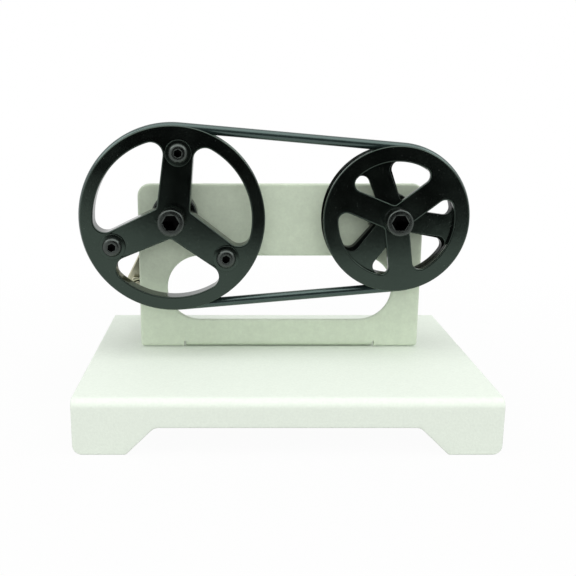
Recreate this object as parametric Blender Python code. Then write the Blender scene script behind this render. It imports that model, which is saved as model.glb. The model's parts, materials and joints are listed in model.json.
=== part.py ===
"""A small hand-cranked belt drive on a folded sheet stand.

X runs along the stand, +Y points to its back and +Z up. The origin is under the middle of the whole
object, on the surface that it stands on.
"""

import math

import bmesh
import bpy
from mathutils import Matrix, Vector

MM = 0.001

# Clearances between pieces
SEAT_GAP = 0.3 * MM
FIT_GAP = 0.3 * MM

# Folded base
BASE_WIDTH = 150.0 * MM
BASE_DEPTH = 113.5 * MM
BASE_HEIGHT = 20.5 * MM
BASE_SHEET = 2.0 * MM
BASE_INNER_BEND = 1.2 * MM
FOOT_LENGTH = 18.6 * MM
FOOT_SLANT = 10.2 * MM
ARCH_HEIGHT = 10.0 * MM
ARCH_FILLET = 4.0 * MM
FOOT_CORNER = 3.5 * MM
FOOT_INNER_CORNER = 1.5 * MM

# Upright plate
PLATE_WIDTH = 114.0 * MM
PLATE_TOP = 87.9 * MM
PLATE_SHEET = 2.0 * MM
PLATE_FRONT = 4.05 * MM
PLATE_TOP_CORNER = 5.0 * MM
PLATE_LOW_CORNER = 1.2 * MM
PLATE_EDGE_GAP = 0.4 * MM
PLATE_INNER_BEND = 1.5 * MM
SLOT_LENGTH = 91.2 * MM
SLOT_HEIGHT = 26.6 * MM
SLOT_BOTTOM = 32.2 * MM
FLANGE_WIDTH = 77.0 * MM
FLANGE_REACH = 18.0 * MM
FLANGE_CORNER = 3.0 * MM
RELIEF_WIDTH = 0.8 * MM
RELIEF_ABOVE_BEND = 0.6 * MM

# Screws of the plate's foot, size M4
FOOT_SCREW_SPACING = 50.0 * MM
FOOT_SCREW_FROM_EDGE = 8.0 * MM
FOOT_SCREW_END = 1.5 * MM

# Fasteners
M4_SHANK = 4.0 * MM
M4_BUTTON_HEAD = 7.6 * MM
M4_BUTTON_HEIGHT = 2.2 * MM
M4_SOCKET = 2.5 * MM
M4_SOCKET_DEPTH = 1.3 * MM
M4_NUT = 7.0 * MM
M4_NUT_HEIGHT = 3.2 * MM
M4_WASHER = 9.0 * MM
M4_WASHER_HEIGHT = 0.8 * MM
M5_SHANK = 5.0 * MM
M5_NUT = 8.0 * MM
M5_NUT_HEIGHT = 2.7 * MM
M6_SHANK = 6.0 * MM
M6_HEAD = 10.0 * MM
M6_HEAD_HEIGHT = 6.0 * MM
M6_SOCKET = 5.0 * MM
M6_SOCKET_DEPTH = 3.0 * MM
M6_LENGTH = 14.0 * MM
M6_HEAD_EDGE = 0.6 * MM
LOCK_WASHER = 9.9 * MM
LOCK_WASHER_HEIGHT = 1.6 * MM

# Shafts and their bearings
SHAFT_SPACING = 85.0 * MM
SHAFTS_OFF_CENTRE = 0.5 * MM
SHAFT_ABOVE_FLOOR = 76.0 * MM
SHAFT_DIAMETER = 10.0 * MM
JOURNAL_DIAMETER = 8.0 * MM
TAPPED_DEPTH = 12.0 * MM
BOSS_DIAMETER = 18.0 * MM
BOSS_LENGTH = 5.9 * MM
BOSS_EDGE = 0.5 * MM
BUSH_WALL = 1.0 * MM
HOUSING_WALL = 1.2 * MM
HOUSING_NUT = 20.0 * MM
HOUSING_NUT_HEIGHT = 4.0 * MM
HOUSING_PAST_NUT = 0.6 * MM
SPACER_DIAMETER = 12.0 * MM
SPACER_HEIGHT = 1.2 * MM
COLLAR_DIAMETER = 18.0 * MM
COLLAR_WIDTH = 8.0 * MM
SHAFT_PAST_COLLAR = 1.5 * MM

# Belt and the groove that it lies in
BELT_DIAMETER = 3.5 * MM
BELT_PROUD = 1.2 * MM
GROOVE_LIP = 1.05 * MM
FRONT_DISC = 1.8 * MM
PULLEY_EDGE = 0.45 * MM

# Large pulley on the drive shaft
DRIVE_RADIUS = 35.25 * MM
DRIVE_GROOVE_WALL = 1.6 * MM
DRIVE_SPOKE_ROOT = 12.6 * MM
DRIVE_SPOKE_TIP = 11.0 * MM
DRIVE_RIM_FILLET = 4.5 * MM
DRIVE_HUB_FILLET = 1.7 * MM
DRIVE_FIRST_SPOKE = 84.0
PULLEY_SCREW_CIRCLE = 25.2 * MM
PULLEY_SCREW_END = 0.8 * MM

# Small pulley on the driven shaft
DRIVEN_RADIUS = 27.75 * MM
DRIVEN_GROOVE_WALL = 2.4 * MM
DRIVEN_SPOKE_ROOT = 9.4 * MM
DRIVEN_SPOKE_TIP = 9.2 * MM
DRIVEN_RIM_FILLET = 3.0 * MM
DRIVEN_HUB_FILLET = 1.7 * MM
DRIVEN_FIRST_SPOKE = 37.5
DRIVEN_INNER_ROOT = 8.6 * MM
DRIVEN_INNER_TIP = 8.4 * MM
DRIVEN_MIDDLE_SPOKE = 112.2
DRIVEN_REAR_SPOKE = 108.8

# Hand crank behind the plate
CRANK_THROW = 35.0 * MM
CRANK_ANGLE = 243.0
CRANK_WIDTH = 12.0 * MM
CRANK_THICKNESS = 4.0 * MM
CRANK_EDGE = 0.5 * MM
CRANK_WASHER = 12.0 * MM
CRANK_WASHER_HEIGHT = 1.2 * MM
PIN_DIAMETER = 7.0 * MM
PIN_HEAD = 9.0 * MM
PIN_HEAD_HEIGHT = 2.2 * MM
PIN_PAST_NUT = 0.6 * MM
GRIP_DIAMETER = 12.0 * MM
GRIP_WAIST = 9.6 * MM
GRIP_LENGTH = 30.0 * MM
GRIP_EDGE = 2.0 * MM

# Facets around round pieces
PULLEY_FACETS = 60
SHAFT_FACETS = 24
SCREW_FACETS = 18
BELT_SIDES = 8
SPOKES = 3

# Sizes worked out from the ones above
BASE_OUTER_BEND = BASE_INNER_BEND + BASE_SHEET
BASE_TOP_HALF = BASE_DEPTH / 2 - BASE_OUTER_BEND
BASE_BEND_RUN = (BASE_INNER_BEND + BASE_SHEET / 2) * math.pi / 2
PLATE_OUTER_BEND = PLATE_INNER_BEND + PLATE_SHEET
PLATE_BEND_RUN = (PLATE_INNER_BEND + PLATE_SHEET / 2) * math.pi / 2
PLATE_FOOT_UNDERSIDE = BASE_HEIGHT + SEAT_GAP
PLATE_BEND_START = PLATE_FOOT_UNDERSIDE + PLATE_OUTER_BEND
FOOT_SCREW_Y = PLATE_FRONT + PLATE_OUTER_BEND + FLANGE_REACH - FOOT_SCREW_FROM_EDGE

SHAFT_RADIUS = SHAFT_DIAMETER / 2
JOURNAL_RADIUS = JOURNAL_DIAMETER / 2
BUSH_BORE = SHAFT_RADIUS + FIT_GAP
BUSH_OUTER = BUSH_BORE + BUSH_WALL
HOUSING_BORE = BUSH_OUTER + FIT_GAP
SPIGOT_RADIUS = HOUSING_BORE + HOUSING_WALL
SPIGOT_HOLE = SPIGOT_RADIUS + FIT_GAP
TAPPED_RADIUS = M6_SHANK / 2 + FIT_GAP

# The belt runs in a right-angled groove that the front, middle and rear discs of a pulley make together
GROOVE_DEPTH = BELT_DIAMETER / 2 - BELT_PROUD + (BELT_DIAMETER / 2 + FIT_GAP) * math.sqrt(2)
PULLEY_HALF_WIDTH = GROOVE_DEPTH + GROOVE_LIP
DRIVE_RIM = GROOVE_DEPTH + DRIVE_GROOVE_WALL
DRIVEN_RIM = GROOVE_DEPTH + DRIVEN_GROOVE_WALL
DRIVE_PITCH = DRIVE_RADIUS + BELT_PROUD - BELT_DIAMETER / 2
DRIVEN_PITCH = DRIVEN_RADIUS + BELT_PROUD - BELT_DIAMETER / 2

# Heights along a shaft, measured from the plate's front face towards the front
BOSS_FRONT = SEAT_GAP + BOSS_LENGTH
SPACER_REAR = BOSS_FRONT + SEAT_GAP
PULLEY_REAR = SPACER_REAR + SPACER_HEIGHT + SEAT_GAP
BELT_PLANE = PULLEY_REAR + PULLEY_HALF_WIDTH
PULLEY_FRONT = BELT_PLANE + PULLEY_HALF_WIDTH
LOCK_WASHER_REAR = PULLEY_FRONT + SEAT_GAP
HUB_HEAD_REAR = LOCK_WASHER_REAR + LOCK_WASHER_HEIGHT + SEAT_GAP
FRONT_SHOULDER = SPACER_REAR - SEAT_GAP
FRONT_END = PULLEY_FRONT - SEAT_GAP
HOUSING_NUT_FRONT = -PLATE_SHEET - SEAT_GAP
HOUSING_NUT_REAR = HOUSING_NUT_FRONT - HOUSING_NUT_HEIGHT
HOUSING_REAR = HOUSING_NUT_REAR - HOUSING_PAST_NUT
CRANK_SHOULDER = HOUSING_REAR - SEAT_GAP
CRANK_FRONT = CRANK_SHOULDER - SEAT_GAP
CRANK_REAR = CRANK_FRONT - CRANK_THICKNESS
CRANK_WASHER_FRONT = CRANK_REAR - SEAT_GAP
CRANK_SCREW_SEAT = CRANK_WASHER_FRONT - CRANK_WASHER_HEIGHT - SEAT_GAP
COLLAR_FRONT = HOUSING_REAR - SEAT_GAP
COLLAR_REAR = COLLAR_FRONT - COLLAR_WIDTH
PIN_NUT_REAR = CRANK_FRONT + SEAT_GAP
PIN_SHOULDER = CRANK_REAR - SEAT_GAP
GRIP_FRONT = PIN_SHOULDER - SEAT_GAP
GRIP_REAR = GRIP_FRONT - GRIP_LENGTH
PIN_HEAD_FRONT = GRIP_REAR - SEAT_GAP

# The shafts and the middle of the whole object, from the middle of the base
DRIVE_X = SHAFTS_OFF_CENTRE - SHAFT_SPACING / 2
DRIVEN_X = SHAFTS_OFF_CENTRE + SHAFT_SPACING / 2
LEFT_REACH = max(BASE_WIDTH / 2, DRIVE_RADIUS + BELT_PROUD - DRIVE_X)
RIGHT_REACH = max(BASE_WIDTH / 2, DRIVEN_RADIUS + BELT_PROUD + DRIVEN_X)
BASE_SHIFT = (LEFT_REACH - RIGHT_REACH) / 2


def clear_scene():
    for obj in list(bpy.data.objects):
        bpy.data.objects.remove(obj, do_unlink=True)


def finish(name, colour, roughness, metallic):
    """A Principled material; the colour is linear."""
    material = bpy.data.materials.new(name)
    material.use_nodes = True
    shader = material.node_tree.nodes["Principled BSDF"]
    shader.inputs["Base Color"].default_value = (*colour, 1.0)
    shader.inputs["Roughness"].default_value = roughness
    shader.inputs["Metallic"].default_value = metallic
    return material


def white_powder_coat(name):
    return finish(name, (0.84, 0.88, 0.82), 0.5, 0.0)


def grey_green_paint(name):
    return finish(name, (0.53, 0.61, 0.50), 0.5, 0.0)


def black_enamel(name):
    return finish(name, (0.012, 0.014, 0.013), 0.3, 0.0)


def black_rubber(name):
    return finish(name, (0.03, 0.035, 0.033), 0.45, 0.0)


def black_steel(name):
    return finish(name, (0.04, 0.04, 0.042), 0.38, 0.8)


def bright_steel(name):
    return finish(name, (0.45, 0.44, 0.42), 0.32, 1.0)


def bronze(name):
    return finish(name, (0.45, 0.29, 0.13), 0.45, 1.0)


def black_plastic(name):
    return finish(name, (0.02, 0.02, 0.021), 0.42, 0.0)


def empty(name, parent=None, location=(0, 0, 0), rotation=(0, 0, 0)):
    """A frame that pieces are placed in."""
    frame = bpy.data.objects.new(name, None)
    bpy.context.collection.objects.link(frame)
    frame.parent = parent
    frame.location = location
    frame.rotation_euler = rotation
    return frame


def piece(bm, name, parent, paint, location=(0, 0, 0), rotation=(0, 0, 0)):
    """Turn a bmesh into a named, painted object under its frame, with its faces pointing out."""
    bmesh.ops.recalc_face_normals(bm, faces=bm.faces)
    if bm.calc_volume(signed=True) < 0:
        bmesh.ops.reverse_faces(bm, faces=bm.faces)
    mesh = bpy.data.meshes.new(name)
    bm.to_mesh(mesh)
    bm.free()
    mesh.shade_smooth()
    mesh.set_sharp_from_angle(angle=math.radians(35))
    obj = bpy.data.objects.new(name, mesh)
    bpy.context.collection.objects.link(obj)
    mesh.materials.append(paint(name + "_finish"))
    obj.parent = parent
    obj.location = location
    obj.rotation_euler = rotation
    return obj


def cut(obj, cutter):
    """Take a hidden cutter's shape away from a piece."""
    cutter.hide_render = True
    cutter.display_type = "WIRE"
    modifier = obj.modifiers.new("cut", "BOOLEAN")
    modifier.operation = "DIFFERENCE"
    modifier.solver = "EXACT"
    modifier.object = cutter


def arc(centre, radius, start, end, steps):
    """Points of a round stretch, angles in degrees, both ends included."""
    angles = [math.radians(start + (end - start) * i / steps) for i in range(steps + 1)]
    return [(centre[0] + radius * math.cos(a), centre[1] + radius * math.sin(a)) for a in angles]


def ring(radius, facets, centre=(0, 0)):
    return arc(centre, radius, 0, 360, facets)[:-1]


def hexagon(across_flats, facets):
    """A hexagon with as many points as the circles that it is joined to."""
    points = []
    for i in range(facets):
        angle = 2 * math.pi * i / facets
        from_flat = angle % (math.pi / 3) - math.pi / 6
        radius = across_flats / 2 / math.cos(from_flat)
        points.append((radius * math.cos(angle), radius * math.sin(angle)))
    return points


def rounded(corners, steps=4):
    """A closed outline through (x, y, corner radius), with an arc at each round corner."""
    points = []
    for i, (x, y, radius) in enumerate(corners):
        here = Vector((x, y))
        if radius == 0:
            points.append((x, y))
            continue
        back = (Vector(corners[i - 1][:2]) - here).normalized()
        ahead = (Vector(corners[(i + 1) % len(corners)][:2]) - here).normalized()
        half = back.angle(ahead) / 2
        centre = here + (back + ahead).normalized() * (radius / math.sin(half))
        start = here + back * (radius / math.tan(half)) - centre
        end = here + ahead * (radius / math.tan(half)) - centre
        first = math.degrees(math.atan2(start.y, start.x))
        turn = (math.degrees(math.atan2(end.y, end.x)) - first + 180) % 360 - 180
        points += arc(centre, radius, first, first + turn, steps)
    return points


def loft(levels, joined=False):
    """Walls between loops at stepped heights, with the ends filled or joined to each other.

    Each level is (height, list of loops): the first loop is the outline and the others are holes.
    """
    bm = bmesh.new()
    rows = []
    for height, loops in levels:
        rows.append([[bm.verts.new((x, y, height)) for x, y in loop] for loop in loops])
    pairs = list(zip(rows, rows[1:]))
    if joined:
        pairs.append((rows[-1], rows[0]))
    for lower, upper in pairs:
        for low, high in zip(lower, upper):
            for i in range(len(low)):
                bm.faces.new((low[i - 1], low[i], high[i], high[i - 1]))
    if not joined:
        for row in (rows[0], rows[-1]):
            edges = [bm.edges.get((loop[i - 1], loop[i])) for loop in row for i in range(len(loop))]
            bmesh.ops.triangle_fill(bm, edges=edges, use_beauty=True)
    return bm


def turned(profile, facets, joined=False):
    """A round piece from (height, radius) steps."""
    return loft([(height, [ring(radius, facets)]) for height, radius in profile], joined)


def tube(rear, front, inner, outer, facets):
    return turned([(rear, outer), (front, outer), (front, inner), (rear, inner)], facets, joined=True)


def hex_nut(rear, height, across_flats, bore, facets):
    front = rear + height
    edge = [hexagon(across_flats, facets)]
    hole = [ring(bore, facets)]
    return loft([(rear, edge), (front, edge), (front, hole), (rear, hole)], joined=True)


def socket_screw(length, shank, head, head_height, edge, socket, socket_depth, facets):
    """A screw with its head's seat at height 0 and a hex socket; a wide edge makes a button head."""
    return loft([
        (-length, [ring(shank / 2, facets)]),
        (0, [ring(shank / 2, facets)]),
        (0, [ring(head / 2, facets)]),
        (head_height - edge, [ring(head / 2, facets)]),
        (head_height, [ring(head / 2 - edge, facets)]),
        (head_height, [hexagon(socket, facets)]),
        (head_height - socket_depth, [hexagon(socket, facets)]),
    ])


def m4_button_screw(length):
    return socket_screw(length, M4_SHANK, M4_BUTTON_HEAD, M4_BUTTON_HEIGHT,
                        M4_BUTTON_HEIGHT * 0.6, M4_SOCKET, M4_SOCKET_DEPTH, SCREW_FACETS)


def m6_cap_screw():
    return socket_screw(M6_LENGTH, M6_SHANK, M6_HEAD, M6_HEAD_HEIGHT,
                        M6_HEAD_EDGE, M6_SOCKET, M6_SOCKET_DEPTH, SCREW_FACETS)


def copies(bm, name, parent, paint, places):
    """Like pieces at several places, numbered from 1, that share one mesh."""
    first = piece(bm, name + "_1", parent, paint, location=places[0])
    for number, place in enumerate(places[1:], start=2):
        obj = first.copy()
        obj.name = f"{name}_{number}"
        obj.location = place
        bpy.context.collection.objects.link(obj)


def past_fold(run, depth, outer_bend, bend_run):
    """Where a sheet point lies after a right-angle fold.

    run is the way along the sheet past the start of the fold, depth the way in from the sheet's outer
    face. The result is the way on in the first leg's direction and the way in the second leg's.
    """
    if run <= 0:
        return run, depth
    if run < bend_run:
        turn = run / bend_run * math.pi / 2
        reach = outer_bend - depth
        return reach * math.sin(turn), outer_bend - reach * math.cos(turn)
    return outer_bend - depth, outer_bend + run - bend_run


def score(bm, start, bend_run, direction):
    """Edges across the sheet where it bends, so that the fold is round."""
    strips = 4
    for i in range(strips + 1):
        line = start + direction * bend_run * i / strips
        everything = bm.verts[:] + bm.edges[:] + bm.faces[:]
        bmesh.ops.bisect_plane(bm, geom=everything, dist=1e-7, plane_co=(0, line, 0), plane_no=(0, 1, 0))


def base_channel(parent):
    """Cut flat, with feet and arches on both long edges, then folded down at both bends."""
    edge = BASE_TOP_HALF + BASE_BEND_RUN + BASE_HEIGHT - BASE_OUTER_BEND
    half = BASE_WIDTH / 2
    foot = half - FOOT_LENGTH
    arch = foot - FOOT_SLANT
    top = edge - ARCH_HEIGHT
    skirt = [(half, edge, FOOT_CORNER), (foot, edge, FOOT_INNER_CORNER), (arch, top, ARCH_FILLET),
             (-arch, top, ARCH_FILLET), (-foot, edge, FOOT_INNER_CORNER), (-half, edge, FOOT_CORNER)]
    other_skirt = [(-x, -y, radius) for x, y, radius in skirt]
    loops = [rounded(skirt + other_skirt)]
    for x in (-FOOT_SCREW_SPACING / 2, FOOT_SCREW_SPACING / 2):
        loops.append(ring(M4_SHANK / 2 + FIT_GAP, SCREW_FACETS, (x, FOOT_SCREW_Y)))
    bm = loft([(0, loops), (BASE_SHEET, loops)])
    for side in (-1, 1):
        score(bm, side * BASE_TOP_HALF, BASE_BEND_RUN, side)
    for vert in bm.verts:
        side = math.copysign(1, vert.co.y)
        run = abs(vert.co.y) - BASE_TOP_HALF
        along, inward = past_fold(run, vert.co.z, BASE_OUTER_BEND, BASE_BEND_RUN)
        vert.co = (vert.co.x, side * (BASE_TOP_HALF + along), BASE_HEIGHT - inward)
    return piece(bm, "base_channel", parent, white_powder_coat)


def upright_plate(parent):
    """Cut flat with its window and bearing holes, then its foot is folded backwards."""
    half = PLATE_WIDTH / 2
    top = PLATE_TOP - PLATE_BEND_START
    low = BASE_HEIGHT + PLATE_EDGE_GAP - PLATE_BEND_START
    flange = FLANGE_WIDTH / 2
    notch = flange + RELIEF_WIDTH
    end = -PLATE_BEND_RUN - FLANGE_REACH
    right = [(flange, end, FLANGE_CORNER), (flange, RELIEF_ABOVE_BEND, 0), (notch, RELIEF_ABOVE_BEND, 0),
             (notch, low, 0), (half, low, PLATE_LOW_CORNER), (half, top, PLATE_TOP_CORNER)]
    left = [(-x, y, radius) for x, y, radius in reversed(right)]
    slot_radius = SLOT_HEIGHT / 2
    slot_middle = SLOT_BOTTOM + slot_radius - PLATE_BEND_START
    slot_centre = SLOT_LENGTH / 2 - slot_radius
    slot = arc((slot_centre, slot_middle), slot_radius, -90, 90, 16)
    slot += arc((-slot_centre, slot_middle), slot_radius, 90, 270, 16)
    loops = [rounded(right + left), slot]
    shaft_line = SHAFT_ABOVE_FLOOR - PLATE_BEND_START
    for x in (DRIVE_X, DRIVEN_X):
        loops.append(ring(SPIGOT_HOLE, SHAFT_FACETS, (x, shaft_line)))
    screw_line = PLATE_FRONT + PLATE_OUTER_BEND - PLATE_BEND_RUN - FOOT_SCREW_Y
    for x in (-FOOT_SCREW_SPACING / 2, FOOT_SCREW_SPACING / 2):
        loops.append(ring(M4_SHANK / 2 + FIT_GAP, SCREW_FACETS, (x, screw_line)))
    bm = loft([(0, loops), (PLATE_SHEET, loops)])
    score(bm, 0, PLATE_BEND_RUN, -1)
    for vert in bm.verts:
        run = -vert.co.y
        along, inward = run, vert.co.z
        if abs(vert.co.x) < flange + RELIEF_WIDTH / 2:
            along, inward = past_fold(run, vert.co.z, PLATE_OUTER_BEND, PLATE_BEND_RUN)
        vert.co = (vert.co.x, PLATE_FRONT + inward, PLATE_BEND_START - along)
    return piece(bm, "upright_plate", parent, grey_green_paint)


def foot_fasteners(parent):
    """Screws, washers and nuts that hold the plate's foot on the base."""
    half = FOOT_SCREW_SPACING / 2
    washer_under = PLATE_FOOT_UNDERSIDE + PLATE_SHEET + SEAT_GAP
    head_under = washer_under + M4_WASHER_HEIGHT + SEAT_GAP
    nut_under = BASE_HEIGHT - BASE_SHEET - SEAT_GAP - M4_NUT_HEIGHT
    length = head_under - nut_under + FOOT_SCREW_END
    bore = M4_SHANK / 2 + FIT_GAP

    def pair(height):
        return [(-half, FOOT_SCREW_Y, height), (half, FOOT_SCREW_Y, height)]

    copies(m4_button_screw(length), "foot_screw", parent, black_steel, pair(head_under))
    washer = tube(0, M4_WASHER_HEIGHT, bore, M4_WASHER / 2, SCREW_FACETS)
    copies(washer, "foot_washer", parent, bright_steel, pair(washer_under))
    nut = hex_nut(0, M4_NUT_HEIGHT, M4_NUT, bore, SCREW_FACETS)
    copies(nut, "foot_nut", parent, bright_steel, pair(nut_under))


def bearing(line, prefix):
    """Housing, bush and nut of one shaft; they stay with the plate."""
    housing = turned([
        (HOUSING_REAR, SPIGOT_RADIUS),
        (SEAT_GAP, SPIGOT_RADIUS),
        (SEAT_GAP, BOSS_DIAMETER / 2),
        (BOSS_FRONT - BOSS_EDGE, BOSS_DIAMETER / 2),
        (BOSS_FRONT, BOSS_DIAMETER / 2 - BOSS_EDGE),
        (BOSS_FRONT, HOUSING_BORE),
        (HOUSING_REAR, HOUSING_BORE),
    ], SHAFT_FACETS, joined=True)
    piece(housing, prefix + "_bearing_housing", line, black_steel)
    bush = tube(HOUSING_REAR, BOSS_FRONT, BUSH_BORE, BUSH_OUTER, SHAFT_FACETS)
    piece(bush, prefix + "_bush", line, bronze)
    nut = hex_nut(HOUSING_NUT_REAR, HOUSING_NUT_HEIGHT, HOUSING_NUT, SPIGOT_HOLE, SHAFT_FACETS)
    piece(nut, prefix + "_housing_nut", line, bright_steel)


def spoke_window(rim, root, tip, rim_fillet, hub_fillet, grow, first_spoke):
    """The opening between one spoke and the next, made larger all round by grow.

    rim is the rim's inner radius. The spoke narrows evenly from the root width at its shaft's edge to the
    tip width at the rim, and the window is the same on both sides of the line halfway between two spokes.
    """
    step = 360 / SPOKES
    along = Vector((rim - JOURNAL_RADIUS, (tip - root) / 2)).normalized()
    into = Vector((-along.y, along.x))
    edge = Vector((JOURNAL_RADIUS, root / 2)) - into * grow
    middle = Vector((math.cos(math.radians(step / 2)), math.sin(math.radians(step / 2))))
    hub_radius = hub_fillet + grow
    rim_radius = rim_fillet + grow
    hub_centre = middle * ((hub_radius + edge.dot(into)) / middle.dot(into))
    start = edge + into * rim_radius
    reach = rim + grow - rim_radius
    way = start.dot(along)
    rim_centre = start + along * (math.sqrt(way * way - start.length_squared + reach * reach) - way)
    facing = math.degrees(math.atan2(-into.y, -into.x))
    corner = math.degrees(math.atan2(rim_centre.y, rim_centre.x))
    mirrored = (reach * math.cos(math.radians(step - corner)), reach * math.sin(math.radians(step - corner)))
    points = arc(hub_centre, hub_radius, step - facing, facing + 360, 3)
    points += arc(rim_centre, rim_radius, facing, corner, 4)
    points += arc((0, 0), rim + grow, corner, step - corner, 8)[1:-1]
    points += arc(mirrored, rim_radius, step - corner, step - facing, 4)
    turn = Matrix.Rotation(math.radians(first_spoke), 2)
    return [tuple(turn @ Vector(point)) for point in points]


def pulley_disc(line, prefix, place, radius, rim, root, tip, rim_fillet, hub_fillet, first_spoke, screw_circle):
    """The front, middle or rear disc of a pulley.

    The middle and the rear disc meet in the belt's plane, and the thin front disc closes the groove.
    """
    step = 360 / SPOKES
    spokes = [first_spoke + step * i for i in range(SPOKES)]

    def loops(outer, grow):
        result = [ring(outer, PULLEY_FACETS)]
        for angle in spokes:
            result.append(spoke_window(radius - rim, root, tip, rim_fillet, hub_fillet, grow, angle))
        result.append(ring(JOURNAL_RADIUS + FIT_GAP, SHAFT_FACETS))
        if screw_circle:
            for angle in spokes:
                centre = (screw_circle * math.cos(math.radians(angle)),
                          screw_circle * math.sin(math.radians(angle)))
                result.append(ring(M4_SHANK / 2 + FIT_GAP, SCREW_FACETS, centre))
        return result

    face = PULLEY_HALF_WIDTH
    seat = SEAT_GAP / 2
    split = face - FRONT_DISC
    floor = radius - GROOVE_DEPTH
    if place == "middle":
        levels = [(end, loops(floor + end, 0)) for end in (seat, split - SEAT_GAP)]
    else:
        side, inner = (1, split) if place == "front" else (-1, seat)
        levels = [
            (side * inner, loops(floor + inner, 0)),
            (side * (face - GROOVE_LIP), loops(radius, 0)),
            (side * (face - PULLEY_EDGE), loops(radius, 0)),
            (side * face, loops(radius - PULLEY_EDGE, PULLEY_EDGE)),
        ]
    bm = loft(levels)
    return piece(bm, f"{prefix}_pulley_{place}", line, black_enamel, location=(0, 0, BELT_PLANE))


def hub_stack(line, prefix):
    """Spacer behind the pulley, lock washer and cap screw in front of it."""
    bore = JOURNAL_RADIUS + FIT_GAP
    spacer = tube(SPACER_REAR, SPACER_REAR + SPACER_HEIGHT, bore, SPACER_DIAMETER / 2, SHAFT_FACETS)
    piece(spacer, prefix + "_spacer", line, bright_steel)
    washer = tube(0, LOCK_WASHER_HEIGHT, M6_SHANK / 2 + FIT_GAP, LOCK_WASHER / 2, SCREW_FACETS)
    piece(washer, prefix + "_lock_washer", line, black_steel, location=(0, 0, LOCK_WASHER_REAR))
    piece(m6_cap_screw(), prefix + "_hub_screw", line, black_steel, location=(0, 0, HUB_HEAD_REAR))


def drive_shaft(line):
    """Stepped down at both ends for the pulley and the crank, and tapped for their screws."""
    rear_end = CRANK_REAR + SEAT_GAP
    bm = turned([
        (rear_end + TAPPED_DEPTH, TAPPED_RADIUS),
        (rear_end, TAPPED_RADIUS),
        (rear_end, JOURNAL_RADIUS),
        (CRANK_SHOULDER, JOURNAL_RADIUS),
        (CRANK_SHOULDER, SHAFT_RADIUS),
        (FRONT_SHOULDER, SHAFT_RADIUS),
        (FRONT_SHOULDER, JOURNAL_RADIUS),
        (FRONT_END, JOURNAL_RADIUS),
        (FRONT_END, TAPPED_RADIUS),
        (FRONT_END - TAPPED_DEPTH, TAPPED_RADIUS),
    ], SHAFT_FACETS)
    piece(bm, "drive_shaft", line, bright_steel)


def driven_shaft(line):
    """Stepped down at the pulley only; a collar holds its plain end."""
    bm = turned([
        (COLLAR_REAR - SHAFT_PAST_COLLAR, SHAFT_RADIUS),
        (FRONT_SHOULDER, SHAFT_RADIUS),
        (FRONT_SHOULDER, JOURNAL_RADIUS),
        (FRONT_END, JOURNAL_RADIUS),
        (FRONT_END, TAPPED_RADIUS),
        (FRONT_END - TAPPED_DEPTH, TAPPED_RADIUS),
    ], SHAFT_FACETS)
    piece(bm, "driven_shaft", line, bright_steel)


def large_pulley(line):
    """Three spoked discs with their spokes in line, held together by three screws and nuts."""
    for place in ("front", "middle", "rear"):
        pulley_disc(line, "drive", place, DRIVE_RADIUS, DRIVE_RIM, DRIVE_SPOKE_ROOT, DRIVE_SPOKE_TIP,
                    DRIVE_RIM_FILLET, DRIVE_HUB_FILLET, DRIVE_FIRST_SPOKE, PULLEY_SCREW_CIRCLE)
    head_seat = PULLEY_FRONT + SEAT_GAP
    nut_rear = PULLEY_REAR - SEAT_GAP - M4_NUT_HEIGHT
    turns = [math.radians(DRIVE_FIRST_SPOKE + 360 / SPOKES * i) for i in range(SPOKES)]
    places = [(PULLEY_SCREW_CIRCLE * math.cos(a), PULLEY_SCREW_CIRCLE * math.sin(a)) for a in turns]
    screw = m4_button_screw(head_seat - nut_rear + PULLEY_SCREW_END)
    copies(screw, "pulley_screw", line, black_steel, [(x, y, head_seat) for x, y in places])
    nut = hex_nut(0, M4_NUT_HEIGHT, M4_NUT, M4_SHANK / 2 + FIT_GAP, SCREW_FACETS)
    copies(nut, "pulley_nut", line, black_steel, [(x, y, nut_rear) for x, y in places])


def small_pulley(line):
    """Three spoked discs at unlike angles, of which the two behind the front one have narrower spokes."""
    discs = (("front", DRIVEN_SPOKE_ROOT, DRIVEN_SPOKE_TIP, DRIVEN_FIRST_SPOKE),
             ("middle", DRIVEN_INNER_ROOT, DRIVEN_INNER_TIP, DRIVEN_MIDDLE_SPOKE),
             ("rear", DRIVEN_INNER_ROOT, DRIVEN_INNER_TIP, DRIVEN_REAR_SPOKE))
    for place, root, tip, first_spoke in discs:
        pulley_disc(line, "driven", place, DRIVEN_RADIUS, DRIVEN_RIM, root, tip, DRIVEN_RIM_FILLET,
                    DRIVEN_HUB_FILLET, first_spoke, None)


def belt(parent):
    """A round belt: two arcs at the pitch radii and the two straight runs that touch both."""
    lean = math.degrees(math.asin((DRIVE_PITCH - DRIVEN_PITCH) / SHAFT_SPACING))
    left = (DRIVE_X, SHAFT_ABOVE_FLOOR)
    right = (DRIVEN_X, SHAFT_ABOVE_FLOOR)
    route = arc(left, DRIVE_PITCH, 90 - lean, 270 + lean, 24)
    route += arc(right, DRIVEN_PITCH, -90 + lean, 90 - lean, 20)
    curve = bpy.data.curves.new("belt", "CURVE")
    curve.dimensions = "3D"
    curve.twist_mode = "Z_UP"
    curve.bevel_depth = BELT_DIAMETER / 2
    curve.bevel_resolution = BELT_SIDES // 2 - 2
    spline = curve.splines.new("POLY")
    spline.points.add(len(route) - 1)
    for point, (x, z) in zip(spline.points, route):
        point.co = (x, 0, z, 1)
    spline.use_cyclic_u = True
    obj = bpy.data.objects.new("belt", curve)
    bpy.context.collection.objects.link(obj)
    curve.materials.append(black_rubber("belt_finish"))
    obj.parent = parent
    obj.location = (0, PLATE_FRONT - BELT_PLANE, 0)


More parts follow.
